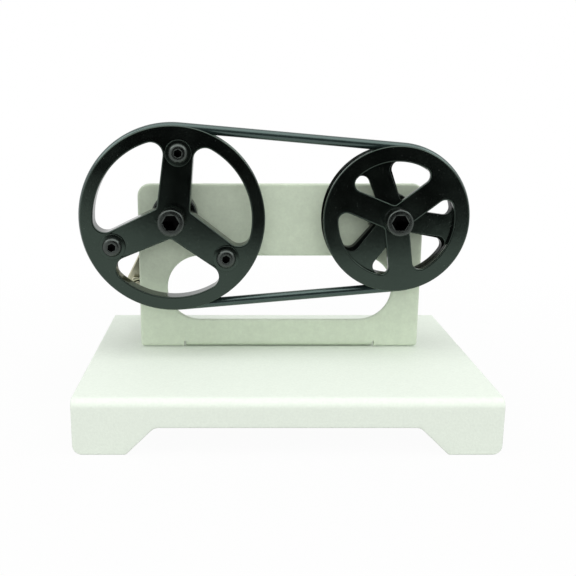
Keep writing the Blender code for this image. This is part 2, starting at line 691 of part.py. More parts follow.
def crank(line):
    """Flat arm on the drive shaft's rear end, its screw, and the pin that carries the grip."""
    angle = math.radians(CRANK_ANGLE)
    end = (CRANK_THROW * math.cos(angle), CRANK_THROW * math.sin(angle))
    holes = [ring(JOURNAL_RADIUS + FIT_GAP, SHAFT_FACETS), ring(M5_SHANK / 2 + FIT_GAP, SCREW_FACETS, end)]

    def outline(inset):
        half = CRANK_WIDTH / 2 - inset
        return arc(end, half, CRANK_ANGLE - 90, CRANK_ANGLE + 90, 10) + arc((0, 0), half, CRANK_ANGLE + 90,
                                                                             CRANK_ANGLE + 270, 10)

    arm = loft([
        (CRANK_REAR, [outline(CRANK_EDGE), *holes]),
        (CRANK_REAR + CRANK_EDGE, [outline(0), *holes]),
        (CRANK_FRONT - CRANK_EDGE, [outline(0), *holes]),
        (CRANK_FRONT, [outline(CRANK_EDGE), *holes]),
    ])
    piece(arm, "crank_arm", line, bright_steel)
    washer = tube(0, CRANK_WASHER_HEIGHT, M6_SHANK / 2 + FIT_GAP, CRANK_WASHER / 2, SCREW_FACETS)
    washer_rear = CRANK_WASHER_FRONT - CRANK_WASHER_HEIGHT
    piece(washer, "crank_washer", line, bright_steel, location=(0, 0, washer_rear))
    piece(m6_cap_screw(), "crank_screw", line, black_steel, location=(0, 0, CRANK_SCREW_SEAT),
          rotation=(math.pi, 0, 0))

    pin_line = empty("pin_line", line, location=(*end, 0))
    pin = turned([
        (PIN_HEAD_FRONT - PIN_HEAD_HEIGHT, PIN_HEAD / 2),
        (PIN_HEAD_FRONT, PIN_HEAD / 2),
        (PIN_HEAD_FRONT, PIN_DIAMETER / 2),
        (PIN_SHOULDER, PIN_DIAMETER / 2),
        (PIN_SHOULDER, M5_SHANK / 2),
        (PIN_NUT_REAR + M5_NUT_HEIGHT + PIN_PAST_NUT, M5_SHANK / 2),
    ], SCREW_FACETS)
    piece(pin, "crank_pin", pin_line, bright_steel)
    nut = hex_nut(PIN_NUT_REAR, M5_NUT_HEIGHT, M5_NUT, M5_SHANK / 2 + FIT_GAP, SCREW_FACETS)
    piece(nut, "crank_pin_nut", pin_line, bright_steel)
    bore = PIN_DIAMETER / 2 + FIT_GAP
    full = GRIP_DIAMETER / 2
    grip = turned([
        (GRIP_REAR, full - GRIP_EDGE / 2),
        (GRIP_REAR + GRIP_EDGE, full),
        (GRIP_REAR + GRIP_LENGTH * 0.3, full),
        (GRIP_REAR + GRIP_LENGTH * 0.7, GRIP_WAIST / 2),
        (GRIP_FRONT - GRIP_EDGE, GRIP_WAIST / 2),
        (GRIP_FRONT, GRIP_WAIST / 2 - GRIP_EDGE / 4),
        (GRIP_FRONT, bore),
        (GRIP_REAR, bore),
    ], SHAFT_FACETS, joined=True)
    piece(grip, "crank_grip", pin_line, black_plastic)


def collar(line):
    """Ring on the driven shaft's rear end, held by a grub screw from above."""
    ring_body = tube(COLLAR_REAR, COLLAR_FRONT, SHAFT_RADIUS + FIT_GAP, COLLAR_DIAMETER / 2, SHAFT_FACETS)
    obj = piece(ring_body, "driven_collar", line, black_steel)
    middle = (COLLAR_REAR + COLLAR_FRONT) / 2
    upwards = (-math.pi / 2, 0, 0)
    hole = turned([(0, M4_SHANK / 2 + FIT_GAP), (COLLAR_DIAMETER, M4_SHANK / 2 + FIT_GAP)], SCREW_FACETS)
    cut(obj, piece(hole, "collar_hole_cutter", line, black_steel, location=(0, 0, middle), rotation=upwards))
    tip = SHAFT_RADIUS + SEAT_GAP
    top = COLLAR_DIAMETER / 2 - SEAT_GAP
    grub = loft([
        (tip, [ring(M4_SHANK / 2, SCREW_FACETS)]),
        (top, [ring(M4_SHANK / 2, SCREW_FACETS)]),
        (top, [hexagon(M4_SOCKET, SCREW_FACETS)]),
        (top - M4_SOCKET_DEPTH, [hexagon(M4_SOCKET, SCREW_FACETS)]),
    ])
    piece(grub, "collar_grub_screw", line, black_steel, location=(0, 0, middle), rotation=upwards)


def shaft_line(name, parent, x):
    """A frame on a shaft's axis: its third axis points to the front, from the plate's front face."""
    return empty(name, parent, location=(x, PLATE_FRONT, SHAFT_ABOVE_FLOOR), rotation=(math.pi / 2, 0, 0))


def main():
    clear_scene()
    stand = empty("stand", location=(BASE_SHIFT, 0, 0))
    base_channel(stand)
    upright_plate(stand)
    foot_fasteners(stand)
    belt(stand)

    drive_line = shaft_line("drive_line", stand, DRIVE_X)
    bearing(drive_line, "drive")
    drive_shaft(drive_line)
    large_pulley(drive_line)
    hub_stack(drive_line, "drive")
    crank(drive_line)

    driven_line = shaft_line("driven_line", stand, DRIVEN_X)
    bearing(driven_line, "driven")
    driven_shaft(driven_line)
    small_pulley(driven_line)
    hub_stack(driven_line, "driven")
    collar(driven_line)


main()
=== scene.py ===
"""Looks of a small hand-cranked belt drive: finished surfaces, materials, stage and camera."""

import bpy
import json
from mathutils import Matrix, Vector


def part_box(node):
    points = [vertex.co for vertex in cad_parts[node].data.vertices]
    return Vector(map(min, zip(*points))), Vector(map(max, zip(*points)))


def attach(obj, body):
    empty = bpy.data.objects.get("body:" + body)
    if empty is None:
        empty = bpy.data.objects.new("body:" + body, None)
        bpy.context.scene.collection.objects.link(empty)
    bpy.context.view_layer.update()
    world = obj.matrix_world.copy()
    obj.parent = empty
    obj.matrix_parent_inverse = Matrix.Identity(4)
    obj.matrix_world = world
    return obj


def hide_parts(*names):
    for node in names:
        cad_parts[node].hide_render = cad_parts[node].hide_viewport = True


bl_info = {
    "name": "Belt drive stand",
    "version": (1, 0, 0),
    "blender": (4, 5, 0),
    "location": "View3D > Sidebar > Belt drive",
    "description": "Dresses the solids of a belt drive stand with finished surfaces and materials",
    "category": "Object",
}

import json
import math

import bmesh
import bpy
import numpy as np
from bpy.props import FloatProperty, FloatVectorProperty, PointerProperty

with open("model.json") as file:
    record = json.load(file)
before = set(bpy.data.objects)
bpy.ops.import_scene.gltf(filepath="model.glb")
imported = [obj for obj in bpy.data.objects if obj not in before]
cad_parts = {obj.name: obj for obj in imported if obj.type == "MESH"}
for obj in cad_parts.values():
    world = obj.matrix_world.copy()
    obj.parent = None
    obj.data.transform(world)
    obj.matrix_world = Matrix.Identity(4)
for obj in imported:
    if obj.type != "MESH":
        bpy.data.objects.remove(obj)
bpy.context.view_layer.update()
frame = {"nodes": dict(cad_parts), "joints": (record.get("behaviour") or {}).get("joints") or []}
MM = 0.001
QUARTER = math.pi / 2

# Places that come from the solids
NODES = frame["nodes"]
PLACES = {joint["name"]: np.array(joint["pos_m"]) for joint in frame["joints"]}
DRIVE_AXIS = PLACES["drive_spin"]
DRIVEN_AXIS = PLACES["driven_spin"]
PIN_AXIS = PLACES["grip_spin"]
LINES = {"drive": (DRIVE_AXIS, "drive_line"), "driven": (DRIVEN_AXIS, "driven_line")}
BASE_LOW, BASE_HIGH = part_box("base_channel")
PLATE_LOW, PLATE_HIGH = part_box("upright_plate")
BASE_MIDDLE = (BASE_LOW.x + BASE_HIGH.x) / 2
PLATE_FRONT = PLATE_LOW.y


def linear(code):
    """An sRGB hex colour as linear red, green and blue."""
    srgb = np.array([int(code[i:i + 2], 16) for i in (1, 3, 5)]) / 255
    return tuple(np.where(srgb <= 0.04045, srgb / 12.92, ((srgb + 0.055) / 1.055) ** 2.4))


def length(name, description, millimetres):
    """A length whose default is given in millimetres."""
    return FloatProperty(name=name, description=description, default=millimetres * MM, min=0,
                         subtype="DISTANCE", unit="LENGTH", precision=5)


def angle(name, description, degrees):
    """An angle whose default is given in degrees."""
    return FloatProperty(name=name, description=description, default=math.radians(degrees),
                         subtype="ANGLE", unit="ROTATION")


def colour(name, description, code):
    """A colour whose default is given as sRGB hex."""
    return FloatVectorProperty(name=name, description=description, default=linear(code), min=0, max=1,
                               size=3, subtype="COLOR")


class SheetSizes(bpy.types.PropertyGroup):
    """Sizes of the folded base and of the upright plate."""

    sheet: length("Sheet", "Thickness of base and plate", 2.0)
    base_bend: length("Base bend", "Outer radius of the base's folds", 3.2)
    edge: length("Edge round", "Rounding that paint gives to cut edges", 0.55)
    foot_length: length("Foot length", "Flat length under each foot", 18.6)
    foot_slant: length("Foot slant", "Run of the slanted edge beside a foot", 10.2)
    arch: length("Arch height", "Height of the arch between the feet", 10.0)
    arch_fillet: length("Arch fillet", "Rounding at the arch's upper corners", 4.0)
    foot_corner: length("Foot corner", "Rounding at the outer end of a foot", 3.5)
    foot_inner: length("Foot inner corner", "Rounding at the inner end of a foot", 1.5)
    plate_corner: length("Plate corner", "Rounding of the plate's top corners", 5.0)
    plate_low_corner: length("Plate low corner", "Rounding of the plate's lower corners", 1.2)
    plate_edge: length("Plate edge round", "Rounding of the plate's cut edges", 0.85)
    plate_gap: length("Plate gap", "Gap from the plate's lower edge to the base", 0.4)
    plate_bend: length("Plate bend", "Outer radius of the plate's fold", 2.15)
    slot_length: length("Window length", "Length of the plate's window", 91.2)
    slot_height: length("Window height", "Height of the plate's window", 26.6)
    slot_bottom: length("Window bottom", "Height of the window's lower edge", 32.2)
    flange: length("Foot width", "Width of the plate's folded foot", 77.0)
    flange_corner: length("Foot end corner", "Rounding at the ends of the folded foot", 3.0)
    relief: length("Relief width", "Width of the notch beside the fold", 0.8)
    relief_above: length("Relief height", "Height of the notch above the fold", 0.05)


class PulleySizes(bpy.types.PropertyGroup):
    """Sizes of the pulleys and of the belt."""

    belt: length("Belt", "Diameter of the belt", 3.65)
    proud: length("Belt proud", "How far the belt stands out of its groove", 1.1)
    groove: length("Groove", "Depth of the groove", 3.45)
    lip: length("Lip", "Flat edge beside the groove", 1.05)
    lip_edge: length("Lip edge", "Rounding where the lip meets the groove", 0.2)
    edge: length("Edge round", "Rounding of edges on the outer faces", 0.45)
    inner_edge: length("Inner edge round", "Rounding of edges on the inner faces", 0.15)
    bore: length("Bore", "Radius of the bore", 4.3)
    drive_rim: length("Large rim", "Width of the large rim seen from the front", 5.05)
    rim_step: length("Rim step", "How much narrower the large rim is at the rear", 0.4)
    drive_root: length("Large spoke root", "Width of a large pulley's spoke at the shaft", 12.6)
    drive_tip: length("Large spoke tip", "Width of a large pulley's spoke at the rim", 11.0)
    drive_rim_fillet: length("Large rim fillet", "Window rounding at the rim", 4.5)
    drive_hub_fillet: length("Large hub fillet", "Window rounding at the hub", 1.7)
    drive_spoke: angle("Large pulley turn", "Angle of its first spoke", 84)
    driven_rim: length("Small rim", "Width of the small rim seen from the front", 5.85)
    driven_root: length("Small spoke root", "Width of a small pulley's spoke at the shaft", 9.4)
    driven_tip: length("Small spoke tip", "Width of a small pulley's spoke at the rim", 9.2)
    driven_inner_root: length("Small inner root", "Width at the shaft of a spoke behind the front disc", 8.6)
    driven_inner_tip: length("Small inner tip", "Width at the rim of a spoke behind the front disc", 8.4)
    driven_rim_fillet: length("Small rim fillet", "Window rounding at the rim", 3.0)
    driven_hub_fillet: length("Small hub fillet", "Window rounding at the hub", 1.7)
    driven_spoke: angle("Small front turn", "Angle of the front disc's first spoke", 37.5)
    driven_middle_spoke: angle("Small middle turn", "Angle of the middle disc's first spoke", 112.2)
    driven_rear_spoke: angle("Small rear turn", "Angle of the rear disc's first spoke", 108.8)
    pad: length("Pad", "Radius of the raised flat round a screw", 5.0)
    pad_rise: length("Pad rise", "Height of that flat", 1.0)
    pad_edge: length("Pad edge", "Rounding of that flat", 0.15)
    pad_bore: length("Pad bore", "Radius of the screw's hole", 1.9)
    screw_circle: length("Screw circle", "Radius of the circle of pulley screws", 25.2)


class FastenerSizes(bpy.types.PropertyGroup):
    """Sizes of turned pieces, screws and nuts that the solids' boxes don't give."""

    cap_socket: length("Cap socket", "Hex key size of the cap screws", 5.5)
    cap_socket_depth: length("Cap socket depth", "Depth of their sockets", 4.2)
    cap_head: length("Cap head height", "Height of their heads", 6.0)
    cap_radius: length("Cap head radius", "Radius of their heads", 5.0)
    cap_top: length("Cap head edge", "Rounding at the top of their heads", 0.75)
    cap_shank: length("Cap shank", "Radius of their threads", 3.0)
    cap_thread: length("Cap thread", "Length of their threads", 8.0)
    button_socket: length("Button socket", "Hex key size of the button screws", 2.8)
    button_socket_depth: length("Button socket depth", "Depth of their sockets", 1.7)
    button_head: length("Button head height", "Height of their heads", 2.2)
    button_radius: length("Button head radius", "Radius of their heads", 3.8)
    button_flat: length("Button flat", "Radius of the flat on top of their heads", 2.25)
    button_rim: length("Button rim", "Height at which their domes start", 0.35)
    button_shank: length("Button shank", "Radius of their threads", 2.0)
    journal: length("Journal", "Radius of a shaft's narrow ends", 4.0)
    spigot_wall: length("Spigot wall", "Wall of a bearing housing where it passes the plate", 1.2)
    pin: length("Grip pin", "Radius of the pin that the grip turns on", 3.5)
    pin_thread: length("Pin thread", "Radius of that pin's thread", 2.5)
    arm_end: length("Arm end", "Radius of the crank arm's round ends", 6.0)
    arm_edge: length("Arm edge", "Rounding of the crank arm's edges", 0.7)
    grip_waist: length("Grip waist", "How much thinner the grip is near the arm", 1.2)
    clearance: length("Clearance", "Gap round shafts and threads, and before shoulders", 0.3)
    slack: length("Washer slack", "Gap between a cap screw and its washer", 0.2)
    edge: length("Edge round", "Rounding on lock washers", 0.35)
    boss_edge: length("Boss edge", "Rounding at the front of a bearing housing", 0.56)
    bar_end: length("Bar end", "Rounding at a bar's full end", 0.6)
    thread_end: length("Thread end", "Rounding at the end of a thread or journal", 0.4)
    shoulder: length("Shoulder", "Rounding of a shoulder", 0.3)
    ring_edge: length("Ring edge", "Rounding of spacers and under screw heads", 0.25)
    fine_edge: length("Fine edge", "Rounding of bushes, bores and thin washers", 0.2)


class Finishes(bpy.types.PropertyGroup):
    """Colours of the finishes."""

    white_coat: colour("White coat", "Powder coat of the base", "#E6EEE3")
    plate_coat: colour("Plate coat", "Grey-green powder coat of the plate", "#D5E1CC")
    enamel: colour("Enamel", "Black enamel of the pulleys", "#080A09")
    # Painted tint: this greenish tint of the enamel's reflections stands in for greenish light round the
    # object
    enamel_sheen: colour("Enamel sheen", "Tint of the enamel's gloss", "#DDFFEA")
    dust: colour("Dust", "Fine dust on the enamel", "#707673")
    rubber: colour("Rubber", "Black rubber of the belt", "#1C2625")
    # Painted tint: this greenish tint of the rubber's reflections stands in for greenish light round the
    # object
    rubber_sheen: colour("Rubber sheen", "Tint of the rubber's gloss", "#E1FFF6")
    black_steel: colour("Black steel", "Oxide-blackened steel", "#4A4F4C")
    bright_steel: colour("Bright steel", "Bare turned or drawn steel", "#BFBEA6")
    bronze: colour("Bronze", "Sintered bearing bronze", "#B08A5A")
    # Painted shade and oil: ambient occlusion darkens the recesses of the steel finishes towards this colour
    grime_and_shade: colour("Grime", "Oil and dirt in recesses", "#070707")
    plastic: colour("Plastic", "Black moulded grip", "#1A1B1C")


class StageSettings(bpy.types.PropertyGroup):
    """Camera and light."""

    camera_place: FloatVectorProperty(name="Camera", description="Where the camera stands", size=3,
                                      default=(-0.016475, -0.32575, 0.124), subtype="XYZ", unit="LENGTH")
    camera_pitch: angle("Pitch", "How far the camera looks down", 13.42)
    lens: FloatProperty(name="Lens", description="Focal length for a 36 mm sensor", default=52.03)
    shift: FloatProperty(name="Shift", description="Sideways shift of the picture", default=0.092)
    rise: FloatProperty(name="Rise", description="Upward shift of the picture", default=0.0008)
    fill: FloatProperty(name="Fill", description="Light that comes from all round", default=0.54)
    floor: colour("Floor", "Pale table top", "#CBCBC9")
    floor_white: FloatProperty(name="Floor white", description="How white the floor looks near the object",
                               default=0.96)
    cloth: colour("Cloth", "Dark cloth round the camera", "#0D0D0D")


SETTINGS = {
    "drive_sheets": SheetSizes,
    "drive_pulleys": PulleySizes,
    "drive_fasteners": FastenerSizes,
    "drive_finishes": Finishes,
    "drive_stage": StageSettings,
}


def settings(name):
    """One group of the scene's settings."""
    return getattr(bpy.context.scene, name)


# Shapes

# Columns round a turned piece, and limits in metres and degrees for merging points and for sharp edges
ROUND, FINE_ROUND = 72, 96
MERGED, TOO_THIN, SHARP = 2e-6, 1e-7, 50


def arc(centre, radius, start, end, count):
    """Points round a centre from one angle to another, in radians, both ends included."""
    turn = np.linspace(start, end, count)
    return np.stack([centre[0] + radius * np.cos(turn), centre[1] + radius * np.sin(turn)], axis=1)


def rounded(corners, count=9):
    """A polyline through (x, y, radius), open, whose inner corners become arcs of that radius."""
    points = np.array([corner[:2] for corner in corners])
    pieces = [points[:1]]
    for i in range(1, len(corners) - 1):
        here, radius = points[i], corners[i][2]
        back = (points[i - 1] - here) / np.linalg.norm(points[i - 1] - here)
        ahead = (points[i + 1] - here) / np.linalg.norm(points[i + 1] - here)
        half = math.acos(np.clip(back @ ahead, -1, 1)) / 2
        if radius == 0 or half > QUARTER - 1e-6:
            pieces.append(here[None])
            continue
        centre = here + (back + ahead) / np.linalg.norm(back + ahead) * radius / math.sin(half)
        first = here + back * radius / math.tan(half) - centre
        last = here + ahead * radius / math.tan(half) - centre
        start = math.atan2(first[1], first[0])
        turn = (math.atan2(last[1], last[0]) - start + math.pi) % (2 * math.pi) - math.pi
        pieces.append(arc(centre, radius, start, start + turn, count))
    pieces.append(points[-1:])
    return np.concatenate(pieces)


def resampled(points, step):
    """The same polyline with extra points, so that none lie further apart than the step."""
    gaps = np.linalg.norm(np.diff(points, axis=0), axis=1)
    counts = np.maximum(1, np.ceil(gaps / step)).astype(int)
    owner = np.repeat(np.arange(len(gaps)), counts)
    share = (np.arange(len(owner)) - np.repeat(np.cumsum(counts) - counts, counts)) / counts[owner]
    inner = points[owner] + (points[owner + 1] - points[owner]) * share[:, None]
    return np.concatenate([inner, points[-1:]])


def all_round(columns):
    """Angles spread evenly over a full turn."""
    return np.linspace(0, 2 * math.pi, columns, endpoint=False)


def stepped(heights, radii):
    """Rings of given heights whose radius may change round the axis, one row of radii a ring."""
    radii = np.asarray(radii)
    turn = all_round(radii.shape[1])
    return np.stack([radii * np.cos(turn), radii * np.sin(turn),
                     np.asarray(heights)[:, None] + 0 * radii], axis=2)


def turned(profile, columns=ROUND):
    """A surface of revolution: each (height, radius) of the profile carried round the axis."""
    profile = np.asarray(profile)
    return stepped(profile[:, 0], profile[:, 1:] + np.zeros(columns))


def hexagon(across_flats, columns):
    """The radius of a hexagon at evenly spread angles: half its width over the cosine from a flat."""
    return across_flats / 2 / np.cos(all_round(columns) % (math.pi / 3) - math.pi / 6)


def edge_steps(count):
    """How far a quarter round draws in and drops, as shares of its radius, from its face to its side."""
    turn = np.linspace(0, QUARTER, count)
    return 1 - np.sin(turn), 1 - np.cos(turn)


def on_shaft(points, axis):
    """From a shaft's own frame, whose third axis points to the front, to the object's frame."""
    return np.stack([axis[0] + points[..., 0], PLATE_FRONT - points[..., 2],
                     axis[2] + points[..., 1]], axis=-1)


def grid_faces(rows, columns, first, around, closed):
    """Quads of a grid of points, joined round its columns and, if closed, from last row to first."""
    row = np.arange(rows if closed else rows - 1)[:, None]
    column = np.arange(columns if around else columns - 1)[None, :]
    here, after = row * columns, (row + 1) % rows * columns
    beside = (column + 1) % columns
    quads = [here + column, here + beside, after + beside, after + column]
    return first + np.stack(np.broadcast_arrays(*quads), axis=-1).reshape(-1, 4)


def new_object(name, data):
    """An object in the scene."""
    obj = bpy.data.objects.new(name, data)
    bpy.context.scene.collection.objects.link(obj)
    return obj


def make_piece(name, grids, body, slot, nodes, finish=None):
    """One object from grids of points, given as (points, joined round, closed), merged where they meet."""
    vertices, faces, first = [], [], 0
    for points, around, closed in grids:
        rows, columns = points.shape[:2]
        vertices.append(points.reshape(-1, 3))
        faces.append(grid_faces(rows, columns, first, around, closed))
        first += rows * columns
    mesh = bpy.data.meshes.new(name)
    mesh.from_pydata(np.concatenate(vertices), [], np.concatenate(faces))
    bm = bmesh.new()
    bm.from_mesh(mesh)
    bmesh.ops.remove_doubles(bm, verts=bm.verts, dist=MERGED)
    bmesh.ops.dissolve_degenerate(bm, edges=bm.edges, dist=TOO_THIN)
    bmesh.ops.recalc_face_normals(bm, faces=bm.faces)
    if bm.calc_volume(signed=True) < 0:
        bmesh.ops.reverse_faces(bm, faces=bm.faces)
    bm.to_mesh(mesh)
    bm.free()
    mesh.shade_smooth()
    mesh.set_sharp_from_angle(angle=math.radians(SHARP))
    mesh.materials.append(material_of(finish or slot))
    piece = new_object(name, mesh)
    weights = piece.modifiers.new("flat faces", "WEIGHTED_NORMAL")
    weights.keep_sharp = True
    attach(piece, body)
    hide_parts(*nodes)


def span(node):
    """A node's rear and front heights along its shaft, from the plate's front face."""
    low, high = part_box(node)
    return PLATE_FRONT - high.y, PLATE_FRONT - low.y


def reach(node):
    """Half of a node's width."""
    low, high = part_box(node)
    return (high.x - low.x) / 2


# Finishes

# The part of its range that noise mostly keeps to, and what a mix of colours needs
FROM_NOISE = {"From Min": 0.3, "From Max": 0.7}
COLOURS = {"output": 2, "data_type": "RGBA"}


def fill(tree, node, inputs):
    """Sets a node's inputs to values, or links them to sockets."""
    for key, value in inputs.items():
        if isinstance(value, bpy.types.NodeSocket):
            tree.links.new(value, node.inputs[key])
        else:
            node.inputs[key].default_value = value


def add(tree, kind, inputs, output=0, **options):
    """One shader node with its options and inputs; gives one of its outputs."""
    node = tree.nodes.new("ShaderNode" + kind)
    for option, value in options.items():
        setattr(node, option, value)
    fill(tree, node, inputs)
    return node.outputs[output]


def blank(name):
    """An empty material with its Principled shader, and Object coordinates in metres."""
    material = bpy.data.materials.new(name)
    material.use_nodes = True
    tree = material.node_tree
    return material, tree, tree.nodes["Principled BSDF"], add(tree, "TexCoord", {}, "Object")


def shade(rgb, share=1.0):
    """A share of a colour, with its alpha."""
    return (*np.minimum(np.array(rgb) * share, 1), 1)


def surface(name, rgb, noises, shares, rough, relief, streak=(1, 1, 1)):
    """What every finish has: a colour that drifts, a roughness that varies and a fine relief.

    noises holds each noise's width in millimetres and its detail. The cloud moves the colour between two
    shares of itself. The fine one, squeezed along each axis by streak, is the relief, with a height in
    millimetres and a strength. rough names the noise that moves the roughness, and its range.
    """
    material, tree, shader, place = blank(name)
    drawn = add(tree, "Mapping", {"Vector": place, "Scale": streak})
    noise = {}
    for kind, (width, detail) in noises.items():
        noise[kind] = add(tree, "TexNoise", {"Vector": drawn if kind == "fine" else place, "Detail": detail,
                                             "Scale": 1 / (width * MM), "Roughness": 0.55})
    drift = add(tree, "MapRange", {**FROM_NOISE, "Value": noise["cloud"]})
    dark, light = (shade(rgb, share) for share in shares)
    base = add(tree, "Mix", {0: drift, 6: dark, 7: light}, **COLOURS)
    kind, low, high = rough
    dull = add(tree, "MapRange", {**FROM_NOISE, "Value": noise[kind], "To Min": low, "To Max": high})
    height, strength = relief
    bumps = add(tree, "Bump", {"Height": noise["fine"], "Distance": height * MM, "Strength": strength})
    fill(tree, shader, {"Base Color": base, "Roughness": dull, "Normal": bumps})
    return material, tree, shader, noise, base


def powder_coat(name, rgb, peel, roughness, mottle):
    """Powder coat on steel sheet: sprayed and baked, so it is satin with a fine orange peel.

    peel is the width of its dimples in millimetres, and mottle the share by which its colour comes and
    goes over about 3 mm, where the coat is uneven.
    """
    material, tree, shader, noise, base = surface(
        name, rgb, {"fine": (peel, 3), "cloud": (3, 3)}, (1 - mottle, 1 + mottle),
        ("fine", roughness - 0.06, roughness + 0.06), (0.12, 0.55))
    pits = add(tree, "MapRange", {**FROM_NOISE, "Value": noise["fine"], "To Max": 0.26})
    fill(tree, shader, {"Base Color": add(tree, "Mix", {0: pits, 6: base, 7: shade(rgb, 0.8)}, **COLOURS),
                        "Specular IOR Level": 0.2})
    return material


def enamel(name, colours, wall_gloss, face_gloss):
    """Black stoving enamel on machined discs: semi-gloss, with a faint peel and fine dust.

    Rims and window walls take the paint unlike the faces, which point along Y, so they shine unlike them.
    """
    material, tree, shader, noise, base = surface(
        name, colours.enamel, {"fine": (1.6, 2), "cloud": (9, 2), "dust": (0.5, 4)}, (0.8, 1.25),
        ("cloud", 0.12, 0.18), (0.03, 0.25))
    specks = add(tree, "MapRange", {"Value": noise["dust"], "From Min": 0.67, "From Max": 0.73,
                                    "To Max": 0.5})
    normal = add(tree, "TexCoord", {}, "Normal")
    along = add(tree, "SeparateXYZ", {"Vector": normal}, "Y")
    facing = add(tree, "Math", {0: along}, operation="ABSOLUTE")
    gloss = add(tree, "MapRange", {"Value": facing, "From Min": 0.2, "From Max": 0.6,
                                   "To Min": wall_gloss, "To Max": face_gloss})
    fill(tree, shader, {
        "Base Color": add(tree, "Mix", {0: specks, 6: base, 7: shade(colours.dust)}, **COLOURS),
        "Specular IOR Level": gloss,
        # The reflections get a painted greenish tint, which stands in for the colour of the light round the
        # object
        "Specular Tint": shade(colours.enamel_sheen),
    })
    return material


def rubber(name, colours):
    """Extruded rubber cord: satin black, with a fine grain and greyish scuffs."""
    material, tree, shader, *_ = surface(
        name, colours.rubber, {"fine": (0.45, 3), "cloud": (5, 4)}, (1, 1.45), ("cloud", 0.15, 0.24),
        (0.04, 0.3))
    # The reflections get a painted greenish tint, which stands in for the colour of the light round the
    # object
    fill(tree, shader, {"Specular IOR Level": 1, "Specular Tint": shade(colours.rubber_sheen)})
    return material


def steel(name, rgb, grime_and_shade, roughness, streak, recess_share):
    """Metal with fine machining marks, which streak draws out along the shaft.

    The last argument is the share of the colour that is left deepest in recesses, such as sockets: ambient
    occlusion darkens them towards the grime colour, a painted shade that also stands for some oil there.
    """
    material, tree, shader, _, base = surface(
        name, rgb, {"fine": (0.6, 4), "cloud": (4, 2)}, (0.85, 1.1),
        ("fine", roughness - 0.07, roughness + 0.09), (0.015, 0.3), streak)
    # Painted shade: ambient occlusion finds the recesses, and the colour is darkened there as shade would
    # fall, with some oil
    open_to = add(tree, "AmbientOcclusion", {"Distance": 6 * MM}, "AO", only_local=True)
    unshaded = add(tree, "MapRange", {"Value": open_to, "From Min": 0.5, "From Max": 0.85, "To Min": recess_share})
    fill(tree, shader, {"Base Color": add(tree, "Mix", {0: unshaded, 6: shade(grime_and_shade), 7: base}, **COLOURS),
                        "Metallic": 1})
    return material


def moulded(name, rgb):
    """Black moulded plastic: a fine spark-eroded texture, softly matt."""
    noises = {"fine": (0.5, 3), "cloud": (0.5, 3)}
    return surface(name, rgb, noises, (0.85, 1.2), ("fine", 0.42, 0.55), (0.05, 0.4))[0]


# The slots' finishes, and two leaner coats of enamel on the small pulley's inner discs
FINISH_MAKERS = {
    "white_powder_coat": lambda f: powder_coat("powder coated base sheet", f.white_coat, 0.9, 0.58, 0.01),
    "grey_green_paint": lambda f: powder_coat("powder coated plate sheet", f.plate_coat, 1.1, 0.50, 0.04),
    "black_enamel": lambda f: enamel("stoved black enamel", f, 0.5, 0.75),
    "thin_enamel": lambda f: enamel("thin black enamel", f, 0.03, 0.75),
    "matt_enamel": lambda f: enamel("matt black enamel", f, 0.03, 0.1),
    "black_rubber": lambda f: rubber("black rubber cord", f),
    "black_steel": lambda f: steel("oxide black steel", f.black_steel, f.grime_and_shade, 0.26, (1, 1, 1), 0.0),
    "bright_steel": lambda f: steel("bare drawn steel", f.bright_steel, f.grime_and_shade, 0.34, (1, 0.12, 1), 0.6),
    "bronze": lambda f: steel("sintered bronze", f.bronze, f.grime_and_shade, 0.42, (1, 1, 1), 0.6),
    "black_plastic": lambda f: moulded("black moulded plastic", f.plastic),
}
MADE = {}


def material_of(finish):
    """A finish, made when it is first asked for."""
    if finish not in MADE:
        MADE[finish] = FINISH_MAKERS[finish](settings("drive_finishes"))
    return MADE[finish]


# Sheet metal


def past_fold(run, depth, bend, bend_run):
    """Sheet points after a right-angle fold: straight before it, round in it, straight after it.

    run is the way along the sheet past the fold's start and depth the way in from its outer face. The
    result is the way on in the first leg's direction, and the way in the second leg's direction.
    """
    turn = np.clip(run / bend_run, 0, 1) * QUARTER
    on = np.where(run <= 0, run, (bend - depth) * np.sin(turn))
    down = np.where(run <= 0, depth, bend - (bend - depth) * np.cos(turn)) + np.maximum(run - bend_run, 0)
    return on, down


def end_drop(x, half, edge):
    """How far a quarter round at both ends of a strip has dropped at each place along it."""
    past = np.clip(np.abs(x) - (half - edge), 0, edge)
    return edge - np.sqrt(edge * edge - past * past)


def strip_section(inner, outer, inset, sheet, edge, rows):
    """A closed loop round a sheet's section at each column, with round corners.

    inner and outer are the loop's ends along the sheet at each column, and rows holds the fixed lines
    between them. The loop runs out along the outer face, round the end, and back along the inner face.
    """
    draw_in, drop = (share[:, None] for share in edge_steps(5))
    radius = np.minimum(edge, sheet / 2 - inset)
    face_s = np.clip(rows, inner + radius, outer - radius)
    s = np.concatenate([(inner + radius * draw_in)[::-1], face_s, outer - radius * draw_in])
    rounding = inset + radius * drop
    t = np.concatenate([rounding[::-1], inset + 0 * face_s, rounding])
    return np.concatenate([s, s[::-1]]), np.concatenate([t, sheet - t[::-1]])


def end_caps(points):
    """Fill both ends of a looped strip with a ladder between its outer and its inner half."""
    half = points.shape[0] // 2
    return [(np.stack([points[:half, end], points[half:, end][::-1]]), False, False) for end in (0, -1)]


